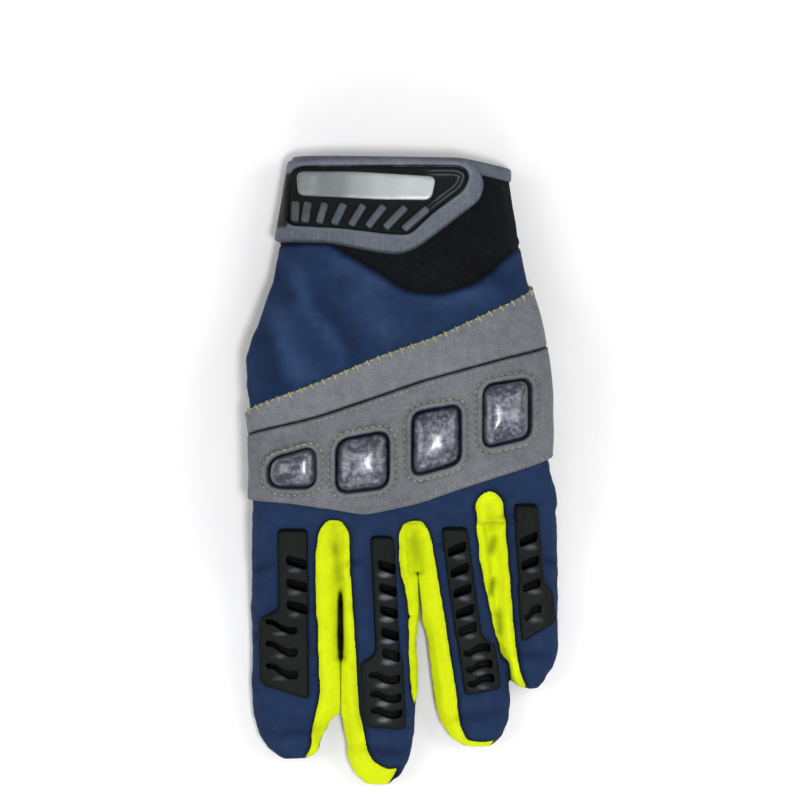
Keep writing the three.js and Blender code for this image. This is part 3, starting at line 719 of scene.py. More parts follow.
def curveOf(line, wide=9 * mm):
    # a soft curve y(x) through a few points
    x = np.array([p.x for p in line])
    y = np.array([p.y for p in line])
    fine = np.linspace(x[0], x[-1], 400)
    heights = np.interp(fine, x, y)
    kernel = np.exp(-(np.arange(-40, 41) * (fine[1] - fine[0]) / wide * 2) ** 2)
    padded = np.concatenate([np.full(40, heights[0]) + (heights[1] - heights[0]) * np.arange(-40, 0), heights,
                             np.full(40, heights[-1]) + (heights[-1] - heights[-2]) * np.arange(1, 41)])
    soft = np.convolve(padded, kernel / kernel.sum(), mode="valid")
    return lambda u: np.interp(u, fine, soft)


topLine, foldLine, footLine = curveOf(guardTop), curveOf(guardFold), curveOf(guardFoot, 5 * mm)

normals = getNormals(skin)
tree = kdtree.KDTree(int(isSeam.sum()))
for i in np.flatnonzero(isSeam):
    tree.insert(Vector(skinPoints[i]), int(i))
tree.balance()
seamGap = np.array([tree.find(Vector(p))[2] for p in skinPoints])
flat = skinPoints[:, :2]
faceUp = fade(normals[:, 2], 0.05, 0.5)
covered = fade(flat[:, 1], *[footLine(flat[:, 0]) + away for away in coverSpec["foot"]])
covered *= 1 - fade(flat[:, 1], *[topLine(flat[:, 0]) + away for away in coverSpec["top"]])
covered = np.maximum(covered * (skinPoints[:, 2] > coverSpec["low"]), fade(flat[:, 1], *coverSpec["strap"]))
shift = np.zeros(len(skinPoints))
for length, height in clothSpec["swell"]:
    shift += noiseAt(skinPoints, length, 3.1) * height
# painted light and shade: fold ridges lighter, fold valleys and creases darker, none under the covers
skinShading = np.full(len(skinPoints), 0.5)
for start, end, halfWidth, height in backFolds:
    share = strokeShare(flat, plan(*start), plan(*end), halfWidth * mm, start[0]) * faceUp * height
    shift += share * mm
    skinShading += share * clothSpec["foldShading"] * (1 - covered)
for crease in fingerCreases:
    share = creaseHeight(flat, *crease) * faceUp
    shift += share
    skinShading += share / mm * clothSpec["creaseShade"] * (1 - covered)
shift *= 1 - covered
near = seamGap < 8 * mm
ripple = np.zeros(len(skinPoints))
ripple[near] = noiseAt(skinPoints[near], clothSpec["puckerLength"], 9.7)
shift += ripple * clothSpec["pucker"] * bell(seamGap, 0, clothSpec["puckerWidth"]) * (1 - covered)
shift += clothSpec["puff"] * bell(seamGap, clothSpec["puffAway"], clothSpec["puffWidth"]) * (1 - covered)
shift -= clothSpec["seamDepth"] * bell(seamGap, 0, clothSpec["seamWidth"])
shift -= covered * clothSpec["pressed"]
skinPoints = skinPoints + normals * shift[:, None]
skinPoints[:, 2] = np.maximum(skinPoints[:, 2], restHeight)
setPoints(skin, skinPoints)
print("folds made")

# the cuff is open: the remesh's end cap goes
mouthShares = [(-1.3, 0.5), (-0.65, 0.502), (0.4, 0.498), (0.72, 0.482), (1.3, 0.47)]
mouthLine = curveOf(outlineOf(mouthShares), 6 * mm)
capFaces = centres[:, 1] > mouthLine(centres[:, 0]) - 1.1 * mm

panelSlots = {"hand_back": "navy_cloth", "finger_panel": "navy_cloth", "palm_panel": "black_leather",
              "cuff": "black_neoprene", "thumb_back": "navy_cloth", "thumb_front": "black_leather",
              "fourchette_index_middle": "yellow_cloth", "fourchette_middle_ring": "yellow_cloth",
              "fourchette_ring_pinky": "yellow_cloth"}


def shapeWall(piece):
    # a bright wall gets a finer mesh, its own folds, and a slit where two fingers touch, with painted shade
    # in the folds and the slit
    applyModifier(piece, "SUBSURF", levels=1, render_levels=1)
    edges = getEdges(piece)
    rim = np.bincount(edges.ravel(), minlength=len(piece.data.vertices)) < 4
    points = smoothPoints(getPoints(piece), edges, clothSpec["wallRounds"], free=(~rim).astype(float))
    setPoints(piece, points)
    up = getNormals(piece)[:, 2]
    tone = np.empty(len(points), np.float32)
    piece.data.attributes["tone"].data.foreach_get("value", tone)
    for start, end, halfWidth, height, darker in wallFolds:
        share = strokeShare(points[:, :2], np.array(start) * mm, np.array(end) * mm, halfWidth * mm)
        share *= fade(up, -0.1, 0.2)
        points[:, 2] += share * height * mm
        tone -= share * darker
    for (topX, topY), (footX, footY), pull in closedGaps:
        y = points[:, 1] / mm
        side = points[:, 0] - np.interp(y, [footY, topY], [footX, topX]) * mm
        reach = fade(y, *[topY + away for away in gapSpec["above"]])
        reach *= fade(y, *[footY + away for away in gapSpec["below"]])
        reach *= 1 - fade(np.abs(side), gapSpec["near"], gapSpec["far"])
        room = np.abs(side) - gapSpec["left"]
        points[:, 0] -= np.sign(side) * np.minimum(room, pull * mm * reach).clip(0)
        # painted shade in the slit
        tone -= gapSpec["dark"] * reach * (1 - fade(np.abs(side), *gapSpec["darkWidth"]))
    setPoints(piece, points)
    piece.data.attributes["tone"].data.foreach_set("value", np.clip(tone, 0, 1).astype(np.float32))


def cutPanel(node):
    # one panel out of the skin, with its wall inwards
    chosen = np.flatnonzero(isOn(node) & ~capFaces)
    used, local = np.unique(faceVerts[chosen], return_inverse=True)
    piece = newPiece("cloth_" + node, skinPoints[used], [tuple(f) for f in local.reshape(-1, 4)])
    # painted shade along the seams
    seam = clothSpec["seamPaintedShade"][panelSlots[node]] * bell(seamGap[used], 0, clothSpec["seamShade"])
    paint(piece, "tone", np.clip(skinShading[used] - seam, 0, 1))
    if "fourchette" in node:
        shapeWall(piece)
    applyModifier(piece, "SOLIDIFY", thickness=clothSpec["wall"], offset=-1, use_rim=True)
    shadeSmooth(piece, 60)
    finishPiece(piece, panelSlots[node], node)
    return piece


panels = {}
# each panel cut out of the skin
for node in clothNodes:
    panel = cutPanel(node)
    panels[node] = panel
    print(node, len(panel.data.polygons))
bpy.data.objects.remove(skin)

# strip and padded guard over the knuckles

seamHeight = [(-0.175, 0.0058), (-0.055, 0.0058), (-0.010, 0.0215), (0.050, 0.0215), (0.105, 0.0105),
              (0.175, 0.0105)]


def sideLimit(y, way, below=0.0):
    # how far the unrolled skin goes at y before it meets the side seam
    row = int(np.clip(round((y - rowsY[0]) / wrapSpec["rowStep"]), 0, len(rowsY) - 1))
    level = float(valueAt(seamHeight, y)) - below
    line = wrapPoints[row, :, 2]
    centre = len(acrossU) // 2
    order = range(centre, len(acrossU)) if way > 0 else range(centre, -1, -1)
    for i in order:
        if line[i] < level and abs(acrossU[i]) > 0.03:
            return float(acrossU[i])
    return way * wrapSpec["reach"]


def bandOutline(upper, lower, spacing=0.9 * mm, inset=0.6 * mm):
    # the outline between two curves, from side seam to side seam
    def corner(curve, way):
        y = float(curve(way * 0.06))
        for _ in range(5):
            y = float(curve(sideLimit(y, way)))
        return y
    sides = []
    for way in (-1, 1):
        heights = np.linspace(corner(lower, way), corner(upper, way), 24)
        sides.append([(sideLimit(y, way) - way * inset, y) for y in heights])
    left, right = sides
    middleUp = np.linspace(left[-1][0], right[-1][0], 150)[1:-1]
    middleDown = np.linspace(right[0][0], left[0][0], 150)[1:-1]
    loop = left + [(u, float(upper(u))) for u in middleUp] + right[::-1]
    loop += [(u, float(lower(u))) for u in middleDown]
    return evenly(loop, spacing)


guardSpec = {
    "thick": 2.3 * mm, "edge": 1.3 * mm, "lipWidth": 2.3 * mm, "lipHeight": 1.1 * mm,
    "stitchInset": 1.9 * mm, "stitchDepth": 0.35 * mm, "grooveAway": 0.55 * mm, "grooveDepth": 0.3 * mm,
    "stripThick": 1.9 * mm, "stripEdge": 1.1 * mm, "stripGroove": 1.8 * mm,
    "windows": {      # middle (across, along), width and height, cut corners, corner radius in mm
        "index": ((-0.72, 0.006), 18.4, 16.4, (0.34, 0.0), 5.2),
        "middle": ((-0.257, 0.014), 20.8, 24.8, (0.16, 0.1), 5.5),
        "ring": ((0.23, 0.048), 19.2, 28.4, (0.12, 0.18), 4.5),
        "pinky": ((0.69, 0.09), 18.4, 27.6, (0.1, 0.16), 4.5),
    },
}


def windowOutline(centre, wide, tall, cut, radius, grow=0.0, spacing=0.7 * mm):
    middle = plan(*centre)
    halfWide, halfTall = wide / 2 + grow / mm, tall / 2 + grow / mm
    places = ((-1, 1 - cut[0] * 2), (1, 1), (1, -1 + cut[1] * 2), (-1, -1))
    corners = [Vector((middle.x + x * halfWide * mm, middle.y + y * halfTall * mm)) for x, y in places]
    return evenly(roundCorners(corners, (radius + grow / mm) * mm), spacing)


guardOutline = bandOutline(foldLine, footLine)
windowHoles = {name: windowOutline(*shape, grow=0.25 * mm) for name, shape in guardSpec["windows"].items()}
lipRings = []
for name, shape in guardSpec["windows"].items():
    for grow in (0.55, 1.5, 2.5, 3.0):
        lipRings.append(windowOutline(*shape, grow=grow * mm, spacing=0.8 * mm))


def padBumps(flat, depth, length, seed, height):
    # the padding's own unevenness, none at the edge
    points = np.column_stack([flat, np.zeros(len(flat))])
    return noiseAt(points, length, seed) * height * fade(depth, 0, 3 * mm)


def guardHeight(flat):
    spec = guardSpec
    halfLip = spec["lipWidth"] / 2
    groove = spec["lipWidth"] + spec["grooveAway"]
    depth = depthIn(flat, guardOutline)
    height = roundedTop(depth, spec["thick"], spec["edge"])
    height -= spec["stitchDepth"] * bell(depth, spec["stitchInset"], 0.5 * mm)
    for hole in windowHoles.values():
        away = -depthIn(flat, hole)
        lip = np.sqrt(np.maximum(0, 1 - ((away - halfLip) / halfLip) ** 2))
        height += spec["lipHeight"] * np.clip(lip * 1.15, 0, 1) * (away > -0.01 * mm)
        height -= spec["grooveDepth"] * bell(away, groove, 0.4 * mm)
    return height + padBumps(flat, depth, 9 * mm, 1.3, 0.22 * mm)


def guardTone(flat):
    # painted shade in the fold, at the windows' edges and in their grooves, a painted highlight along the
    # lips, and darker at the left side
    leftSide = guardOutline[:, 0].min()
    groove = guardSpec["lipWidth"] + guardSpec["grooveAway"]
    tone = 0.5 - 0.42 * bell(flat[:, 1], foldLine(flat[:, 0]), 0.8 * mm)
    tone -= 0.45 * (1 - fade(flat[:, 0], leftSide + 0.5 * mm, leftSide + 2.4 * mm))
    for hole in windowHoles.values():
        away = -depthIn(flat, hole)
        tone -= 0.35 * bell(away, 0, 0.6 * mm)
        tone += 0.08 * bell(away, guardSpec["lipWidth"] / 2, 0.7 * mm)
        tone -= 0.12 * bell(away, groove, 0.5 * mm)
    return np.clip(tone, 0, 1)


guard = patch("knuckle_guard_pad", guardOutline, insets(guardOutline, 0.35, 0.9, 1.6, 2.3) + lipRings,
              guardHeight, onHand, guardTone, openings=list(windowHoles.values()))
finishPiece(guard, "grey_leather", "knuckle_guard")



def stripFoot(u):
    return foldLine(u) + 0.15 * mm


stripOutline = bandOutline(topLine, stripFoot)


def stripHeight(flat):
    # a soft band with a stitched groove along its upper edge
    depth = depthIn(flat, stripOutline)
    height = roundedTop(depth, guardSpec["stripThick"], guardSpec["stripEdge"], 0.3)
    groove = topLine(flat[:, 0]) - guardSpec["stripGroove"]
    height -= guardSpec["grooveDepth"] * bell(flat[:, 1], groove, 0.5 * mm)
    return height + padBumps(flat, depth, 8 * mm, 5.3, 0.25 * mm)


def stripTone(flat):
    # painted shade towards the fold
    return 0.56 - 0.4 * bell(flat[:, 1], foldLine(flat[:, 0]), 0.7 * mm)


strip = patch("guard_strip_pad", stripOutline, insets(stripOutline, 0.35, 0.9, 1.4, 2.2), stripHeight,
              onHand, stripTone)
finishPiece(strip, "grey_leather", "guard_strip")
print("guard laid")

# closure strap with its framed tab

strapSpec = {
    "frame": 3.0 * mm, "field": 1.2 * mm, "edge": 1.2 * mm, "under": 5.0 * mm, "groove": 2.1 * mm,
    "inlay": 0.8 * mm, "plate": 0.9 * mm, "rib": 1.3 * mm, "ribWidth": 3.0 * mm, "ribs": 8, "spread": 1.2,
    "line": 0.45 * mm, "lineAt": (1.6 * mm, 3.2 * mm), "lineFrom": (0.006, 0.014),
}
strapShares = [(-1.6, 0.477), (-1.1, 0.489), (-0.65, 0.499), (-0.01, 0.5), (0.41, 0.496), (0.51, 0.484),
               (0.55, 0.457), (0.523, 0.431), (0.323, 0.393), (0.103, 0.353), (-0.017, 0.342),
               (-0.19, 0.348), (-0.483, 0.362), (-1.1, 0.366), (-1.6, 0.366)]
inlayShares = [(-0.757, 0.472), (-0.68, 0.484), (0.36, 0.484), (0.42, 0.478), (0.437, 0.468),
               (0.403, 0.447), (0.203, 0.41), (0.05, 0.375), (-0.097, 0.377), (-0.39, 0.386), (-0.75, 0.391)]
plateShares = [(-0.69, 0.477), (-0.3, 0.476), (0.23, 0.468), (0.197, 0.43), (-0.14, 0.431), (-0.683, 0.438)]
ribRow = {"top": [(-0.693, 0.429), (0.175, 0.417)], "foot": [(-0.7, 0.395), (0.012, 0.382)]}

strapLine = softOutline(strapShares, 5 * mm, 0.9 * mm)
limit = np.array([sideLimit(float(y), -1, strapSpec["under"]) for y in strapLine[:, 1]])
strapLine[:, 0] = np.maximum(strapLine[:, 0], limit)
strapLine = evenly(strapLine, 0.9 * mm)
inlayLine = softOutline(inlayShares, 3 * mm, 0.7 * mm)
fieldLine = offsetLine(inlayLine, 0.25 * mm)


def strapRibs(flat, away):
    # fine grooves across the frame
    return np.sin(flat[:, 0] / strapSpec["groove"] * 2 * math.pi) * fade(away, 1.2 * mm, 2.4 * mm)


def strapHeight(flat):
    spec = strapSpec
    height = roundedTop(depthIn(flat, strapLine), spec["frame"], spec["edge"], 0.25)
    away = -depthIn(flat, fieldLine)
    rim = roundedTop(np.maximum(away, 0), spec["frame"], 1.0 * mm, 0.62)
    height = np.minimum(height, np.where(away > 0.02 * mm, rim, spec["field"]))
    sides = fade(flat[:, 0], -0.062, -0.050)
    return height * (0.55 + 0.45 * sides) + strapRibs(flat, away) * 0.1 * mm


def strapTone(flat):
    # black round the field and at the left end; lighter along the frame's crest as a painted highlight,
    # painted shade at the outer edge, and painted light and shade following the grooves
    away = -depthIn(flat, fieldLine)
    fieldLeft = fieldLine[:, 0].min()
    tone = 0.5 + strapRibs(flat, away) * 0.05 - 0.45 * (away < 0.4 * mm)
    tone += 0.1 * bell(away, 1.0 * mm, 0.6 * mm) - 0.2 * bell(depthIn(flat, strapLine), 0, 0.9 * mm)
    leftEnd = 1 - fade(flat[:, 0], fieldLeft - 0.2 * mm, fieldLeft + 1.6 * mm)
    leftEnd *= fade(flat[:, 1], 0.0955, 0.0975) * (1 - fade(flat[:, 1], 0.1175, 0.1195))
    return np.clip(tone * (1 - leftEnd) - 0.15 * leftEnd, -0.15, 1)


strap = patch("closure_strap_frame", strapLine,
              insets(strapLine, 0.3, 0.8, 1.4) + insets(fieldLine, 0.0, -0.12, -0.5, -1.1),
              strapHeight, onHand, strapTone)
finishPiece(strap, "grey_rubber", "closure_strap")

inlayTop = strapSpec["field"] + 0.2 * mm + strapSpec["inlay"]


def fieldLines(flat, depth, width):
    # two lines that follow the field's edge round its right end
    lines = sum(bell(depth, at, width) for at in strapSpec["lineAt"])
    return lines * fade(flat[:, 0], *strapSpec["lineFrom"])


def fieldHeight(flat):
    depth = depthIn(flat, inlayLine)
    lines = fieldLines(flat, depth, 0.35 * mm) * strapSpec["line"]
    return roundedTop(depth, inlayTop, 0.5 * mm, 0.85) + lines


def fieldTone(flat):
    return 0.3 + 0.5 * fieldLines(flat, depthIn(flat, inlayLine), 0.4 * mm)


inlay = patch("tab_field", inlayLine, insets(inlayLine, 0.4, 1.2, 1.6, 2.0, 2.8, 3.2, 3.6), fieldHeight,
              onHand, fieldTone, spacing=0.9 * mm, under=strapSpec["field"] + 0.1 * mm)
finishPiece(inlay, "black_rubber", "tab_inlay")

plateLine = softOutline(plateShares, 3 * mm, 0.7 * mm)


def plateHeight(flat):
    return inlayTop + roundedTop(depthIn(flat, plateLine), strapSpec["plate"], 0.6 * mm, 0.5)


def plateTone(flat):
    # the plate is brighter to the right
    return 0.1 + 0.5 * fade(flat[:, 0], -0.030, -0.008)


plate = patch("tab_plate_bare", plateLine, insets(plateLine, 0.25, 0.6), plateHeight, onHand, plateTone,
              under=inlayTop + 0.1 * mm)
finishPiece(plate, "silver_plate", "tab_plate")


def makeBar(number):
    # one slanted rib of the tab
    share = ((number - 1) / (strapSpec["ribs"] - 1)) ** strapSpec["spread"]
    top, foot = [plan(*ends[0]).lerp(plan(*ends[1]), share) for ends in (ribRow["top"], ribRow["foot"])]
    aside = Vector((-(foot - top).y, (foot - top).x)).normalized() * strapSpec["ribWidth"] / 2
    line = evenly(roundCorners([top + aside, top - aside, foot - aside, foot + aside], 1.0 * mm, 5), 0.5 * mm)

    def height(flat):
        return inlayTop + roundedTop(depthIn(flat, line), strapSpec["rib"], 0.8 * mm, 0.35)

    def tone(flat):
        return np.full(len(flat), 0.3 + 0.12 * share)

    piece = patch("tab_bar_%d" % number, line, insets(line, 0.25, 0.6), height, onHand, tone,
                  spacing=0.8 * mm, under=inlayTop + 0.1 * mm)
    finishPiece(piece, "grey_rubber", "tab_rib_%d" % number)
    return piece


bars = [makeBar(number) for number in range(1, strapSpec["ribs"] + 1)]
print("tab laid")

# bound edge of the cuff

bindingSpec = {"wide": 5.0 * mm, "thick": 1.3 * mm, "lift": 0.15 * mm, "near": 0.12, "back": 1 * mm}


def ringPoint(k, y):
    # the k-th point of the whole section at a height along the glove
    rowAt = float(np.clip((y - rowsY[0]) / wrapSpec["rowStep"], 0, len(rowsY) - 1.001))
    r = int(rowAt)
    left, right = len(rings[0][0]), len(rings[0][1])
    def one(row):
        return rings[row][0][k] if k < left else rings[row][1][left + right - 2 - k]
    return one(r) * (1 - rowAt + r) + one(r + 1) * (rowAt - r)


ringCount = len(rings[0][0]) + len(rings[0][1]) - 2
# the edge's section: share of its width, and of its thickness, below 0 inside the cuff
profile = [(0.0, 0.1), (0.0, 0.55), (0.12, 0.9), (0.3, 1.0), (0.7, 1.0), (0.9, 0.95), (1.0, 0.7), (1.06, 0.3),
           (1.06, -0.4), (1.0, -1.3), (0.8, -1.75), (0.4, -1.85), (0.05, -1.6), (0.0, -1.05), (0.5, -0.95),
           (0.93, -0.9), (0.98, -0.2), (0.9, 0.1)]
bindingVerts, bindingFaces = [], []
loop = []
for k in range(ringCount):
    mouth = float(mouthLine(ringPoint(k, bindingSpec["near"])[0]))
    loop.append(ringPoint(k, mouth - bindingSpec["back"]))
loop = np.array(loop)
for _ in range(3):
    loop = loop + (np.roll(loop, 1, axis=0) + np.roll(loop, -1, axis=0) - 2 * loop) * 0.2
tangent = np.roll(loop, -1, axis=0) - np.roll(loop, 1, axis=0)
outward = np.cross(tangent, np.array([0, 1, 0]))
outward /= np.linalg.norm(outward, axis=1)[:, None]
if np.mean((loop - loop.mean(axis=0)) * outward) < 0:
    outward = -outward
for k in range(ringCount):
    mouth = float(mouthLine(loop[k][0]))
    for share, out in profile:
        y = mouth - bindingSpec["wide"] * (1 - share)
        lift = bindingSpec["lift"] * (out > 0) + out * bindingSpec["thick"]
        point = loop[k] + outward[k] * lift
        bindingVerts.append((point[0], y, max(point[2], restHeight)))
steps = len(profile)
for k in range(ringCount):
    here, following = k * steps, (k + 1) % ringCount * steps
    for j in range(steps):
        upper = (j + 1) % steps
        bindingFaces.append((here + j, following + j, following + upper, here + upper))
binding = newPiece("cuff_edge_binding", bindingVerts, bindingFaces)
paint(binding, "tone", np.full(len(bindingVerts), 0.45))
makeActive(binding)
bpy.ops.object.mode_set(mode="EDIT")
bpy.ops.mesh.select_all(action="SELECT")
bpy.ops.mesh.normals_make_consistent(inside=False)
bpy.ops.object.mode_set(mode="OBJECT")
shadeSmooth(binding, 60)
finishPiece(binding, "grey_rubber", "cuff_binding")
print("cuff bound")

# hard domed caps in the windows

capSpec = {
    "height": 6.5 * mm, "back": 0.955 * 25 * mm + 14 * mm,      # the knuckles' back
    "rows": [(1.0, -0.62), (1.0, 0.28), (0.985, 0.40), (0.93, 0.55), (0.80, 0.74), (0.62, 0.88),
             (0.42, 0.96), (0.22, 1.0)], "crown": 1.01,
    "tilt": {"index": -0.2, "middle": 0.0, "ring": 0.04, "pinky": 0.18},
    "sunk": {"index": 0.18, "middle": 0.05, "ring": 0.04, "pinky": 0.17},
}


def makeCap(name, shape):
    # a disc on the window's outline, drawn up ring by ring, then softened
    outline = windowOutline(*shape, grow=-0.15 * mm, spacing=1.1 * mm)
    middle = np.array(plan(*shape[0]))
    sunk, tilt = capSpec["sunk"][name], capSpec["tilt"][name]
    deselectAll()
    bpy.ops.mesh.primitive_circle_add(vertices=len(outline), radius=0.01, fill_type="NOTHING")
    piece = bpy.context.object
    piece.name = "cap_" + name
    dome = bmesh.new()
    dome.from_mesh(piece.data)
    dome.verts.ensure_lookup_table()
    order = [dome.verts[0]]
    while len(order) < len(outline):
        beyond = [e.other_vert(order[-1]) for e in order[-1].link_edges]
        order.append(next(v for v in beyond if v not in order[-2:]))
    loops = [order]
    for _ in capSpec["rows"][1:]:
        loops.append([dome.verts.new(v.co) for v in order])
    for (size, rise), verts in zip(capSpec["rows"], loops):
        for v, point in zip(verts, outline):
            offset = (point - middle) * size
            z = capSpec["back"] + (rise - sunk) * capSpec["height"] - offset[0] * tilt
            v.co = (middle[0] + offset[0], middle[1] + offset[1], z)
    for lower, upper in zip(loops, loops[1:]):
        for i in range(len(order)):
            j = (i + 1) % len(order)
            dome.faces.new((lower[i], lower[j], upper[j], upper[i]))
    crown = capSpec["back"] + (capSpec["crown"] - sunk) * capSpec["height"]
    top = dome.verts.new((middle[0], middle[1], crown))
    floor = dome.verts.new((middle[0], middle[1], loops[0][0].co.z))
    for i in range(len(order)):
        j = (i + 1) % len(order)
        dome.faces.new((loops[-1][i], loops[-1][j], top))
        dome.faces.new((loops[0][j], loops[0][i], floor))
    bmesh.ops.recalc_face_normals(dome, faces=dome.faces)
    dome.to_mesh(piece.data)
    dome.free()
    applyModifier(piece, "SUBSURF", levels=1, render_levels=1)
    depth = depthIn(getPoints(piece)[:, :2], outline)
    # painted shade round the rim and painted light towards the crown
    paint(piece, "tone", 0.12 + 0.4 * fade(depth, 0.3 * mm, 1.8 * mm) + 0.14 * fade(depth, 3 * mm, 8 * mm))
    shadeSmooth(piece, 50)
    finishPiece(piece, "carbon_shell", "knuckle_cap_" + name)
    return piece


caps = {name: makeCap(name, shape) for name, shape in guardSpec["windows"].items()}
print("caps set")

# rubber ladders along the fingers

fingerSpec = {      # root and tip (across, along), width in mm
    "index": ((-0.72, -0.02), (-0.708, -0.468), 35), "middle": ((-0.2, -0.02), (-0.112, -0.502), 30.4),
    "ring": ((0.28, -0.008), (0.522, -0.444), 30.6), "pinky": ((0.748, 0.016), (0.872, -0.354), 25),
}
fingerWide = [(0, 0.84), (0.13, 0.95), (0.27, 1), (0.54, 1), (0.84, 0.99), (0.915, 0.86), (0.965, 0.64),
              (1, 0.3)]      # along the finger, share of its width
ladderSpec = {
    "thick": 3.0 * mm, "floor": 0.45 * mm, "edge": 0.9 * mm,
    "hole": (0.62, 3.9 * mm, 1.2 * mm),     # width as a share of the neck, height, slant
    "slot": (3.0 * mm, 0.9 * mm),           # height and wave
    "fingers": {      # neck and pad: ends along the finger, left and right across; which way it leans
        "index": {
            "neck": (0.164, 0.457, -0.38, 0.34), "pad": (0.73, 0.785, -0.79, 0.31), "lean": 1,
            "holes": (0.278, 0.36, 0.442), "shift": 0.08, "shine": 0.24,
            "slots": ((0.496, 0.536), (0.58, 0.62), (0.66, 0.7)), "inset": (0.16, 0.27),
        },
        "middle": {
            "neck": (0.176, 0.575, -0.1, 0.53), "pad": (0.82, 0.83, -0.5, 0.6), "lean": 1,
            "holes": (0.274, 0.35, 0.426, 0.502, 0.576), "shift": 0.08, "shine": 0.5,
            "slots": ((0.646, 0.664), (0.71, 0.726), (0.765, 0.778)), "inset": (0.22, 0.12),
        },
        "ring": {
            "neck": (0.19, 0.6, -0.26, 0.45), "pad": (0.82, 0.795, -0.22, 0.74), "lean": -1,
            "holes": (0.265, 0.343, 0.421, 0.499, 0.57), "shift": 0.0, "shine": 0.3,
            "slots": ((0.66, 0.635), (0.72, 0.695), (0.773, 0.748)), "inset": (0.14, 0.16),
        },
        "pinky": {
            "neck": (0.188, 0.535, -0.14, 0.66), "pad": (0.8, 0.715, -0.2, 0.88), "lean": -1,
            "holes": (0.334, 0.44, 0.542), "shift": 0.0, "shine": 0.3,
            "slots": ((0.69, 0.64),), "inset": (0.16, 0.4),
        },
    },
}


def fingerPoint(name, along, across):
    # a point on a finger, from shares of its length and of its half width
    root, tip, wide = fingerSpec[name]
    half = float(valueAt(fingerWide, along)) / 2
    middle = plan(*root).lerp(plan(*tip), along)
    return Vector((middle.x + across * half * wide * mm, middle.y))


def makeLadder(name, spec):
    start, end, left, right = spec["neck"]
    endLeft, endRight, padLeft, padRight = spec["pad"]
    shoulder = end + 0.03
    corners = [(start, left), (start, right), (end, right), (shoulder, padRight), (endRight, padRight),
               (endLeft, padLeft), (shoulder, padLeft), (end, left)]
    line = evenly(roundCorners([fingerPoint(name, *corner) for corner in corners], 2.5 * mm), 0.6 * mm)
    pits = []
    share, holeHeight, slant = ladderSpec["hole"]
    for along in spec["holes"]:
        centre, half = (left + right) / 2 + spec["shift"], (right - left) / 2 * share
        leftEnd = fingerPoint(name, along, centre - half)
        rightEnd = fingerPoint(name, along, centre + half)
        tall, drop = Vector((0, holeHeight / 2)), Vector((0, slant * spec["lean"]))
        pits.append([leftEnd - tall + drop, rightEnd - tall - drop, rightEnd + tall - drop,
                     leftEnd + tall * 0.7 + drop])
    slotHeight, wave = ladderSpec["slot"]
    for alongLeft, alongRight in spec["slots"]:
        leftEnd = fingerPoint(name, alongLeft, padLeft + spec["inset"][0])
        rightEnd = fingerPoint(name, alongRight, padRight - spec["inset"][1])
        run = [(t, leftEnd.lerp(rightEnd, t) + Vector((0, wave * math.sin(2.4 * math.pi * t) * spec["lean"])))
               for t in (0, 0.25, 0.5, 0.75, 1)]
        low = [p - Vector((0, slotHeight / 2 * (0.55 + 0.45 * t))) for t, p in run]
        high = [p + Vector((0, slotHeight / 2 * (0.55 + 0.45 * t))) for t, p in run]
        pits.append(low + high[::-1])
    pits = [evenly(roundCorners(pit, 0.9 * mm, 5), 0.5 * mm) for pit in pits]

    def height(flat):
        top = roundedTop(depthIn(flat, line), ladderSpec["thick"], ladderSpec["edge"], 0.3)
        for pit in pits:
            away = -depthIn(flat, pit)
            rim = roundedTop(np.maximum(away, 0), ladderSpec["thick"], 0.7 * mm, 0.7)
            top = np.minimum(top, np.where(away > -0.02 * mm, rim, ladderSpec["floor"]))
        return top

    def tone(flat):
        # black painted shade in the pits, painted shade at the outer edge, and a painted highlight below each
        # pit
        value = 0.44 - 0.25 * bell(depthIn(flat, line), 0, 0.8 * mm)
        for pit in pits:
            away = -depthIn(flat, pit)
            below = flat - pit.mean(axis=0) + np.array([0.8 * spec["lean"], 2.9]) * mm
            value += spec["shine"] * bell(below[:, 0], 0, 2.4 * mm) * bell(below[:, 1], 0, 1.1 * mm)
            value = np.where(away < 0.12 * mm, 0.0, value)
        return np.clip(value, 0, 1)

    contours = insets(line, 0.25, 0.6, 1.1)
    for pit in pits:
        contours += [pit] + insets(pit, 0.15, -0.25, -0.7)
    piece = patch("ladder_" + name, line, contours, height, onFingers, tone, spacing=0.9 * mm)
    finishPiece(piece, "black_rubber", "finger_guard_" + name)
    return piece


ladders = {name: makeLadder(name, spec) for name, spec in ladderSpec["fingers"].items()}
print("ladders laid")

# sewing thread: one stitch, modelled once and copied along the seams
stitchSpec = {
    "length": 2.1 * mm, "thick": 0.8 * mm, "gap": 0.5 * mm, "sink": 0.28 * mm,
    "edgeStep": 4.4 * mm, "edgeLength": 3.0 * mm, "edgeInset": 1.2 * mm, "windowAway": 2.9 * mm,
    "footInset": 1.9 * mm, "foldInset": 1.9 * mm, "topInset": 0.75 * mm, "endInset": 2.5 * mm,
    "bow": 0.22 * mm,        # how far its ends dip
}
deselectAll()
bpy.ops.mesh.primitive_uv_sphere_add(segments=6, ring_count=5, radius=0.5)
oneStitch = bpy.context.object
bpy.ops.object.mode_set(mode="EDIT")
bpy.ops.mesh.select_all(action="SELECT")
bpy.ops.transform.rotate(value=math.pi / 2, orient_axis="Y", center_override=(0, 0, 0))
bpy.ops.object.mode_set(mode="OBJECT")
stitchShape = getPoints(oneStitch)
stitchFaces = [tuple(f.vertices) for f in oneStitch.data.polygons]
bpy.data.objects.remove(oneStitch)


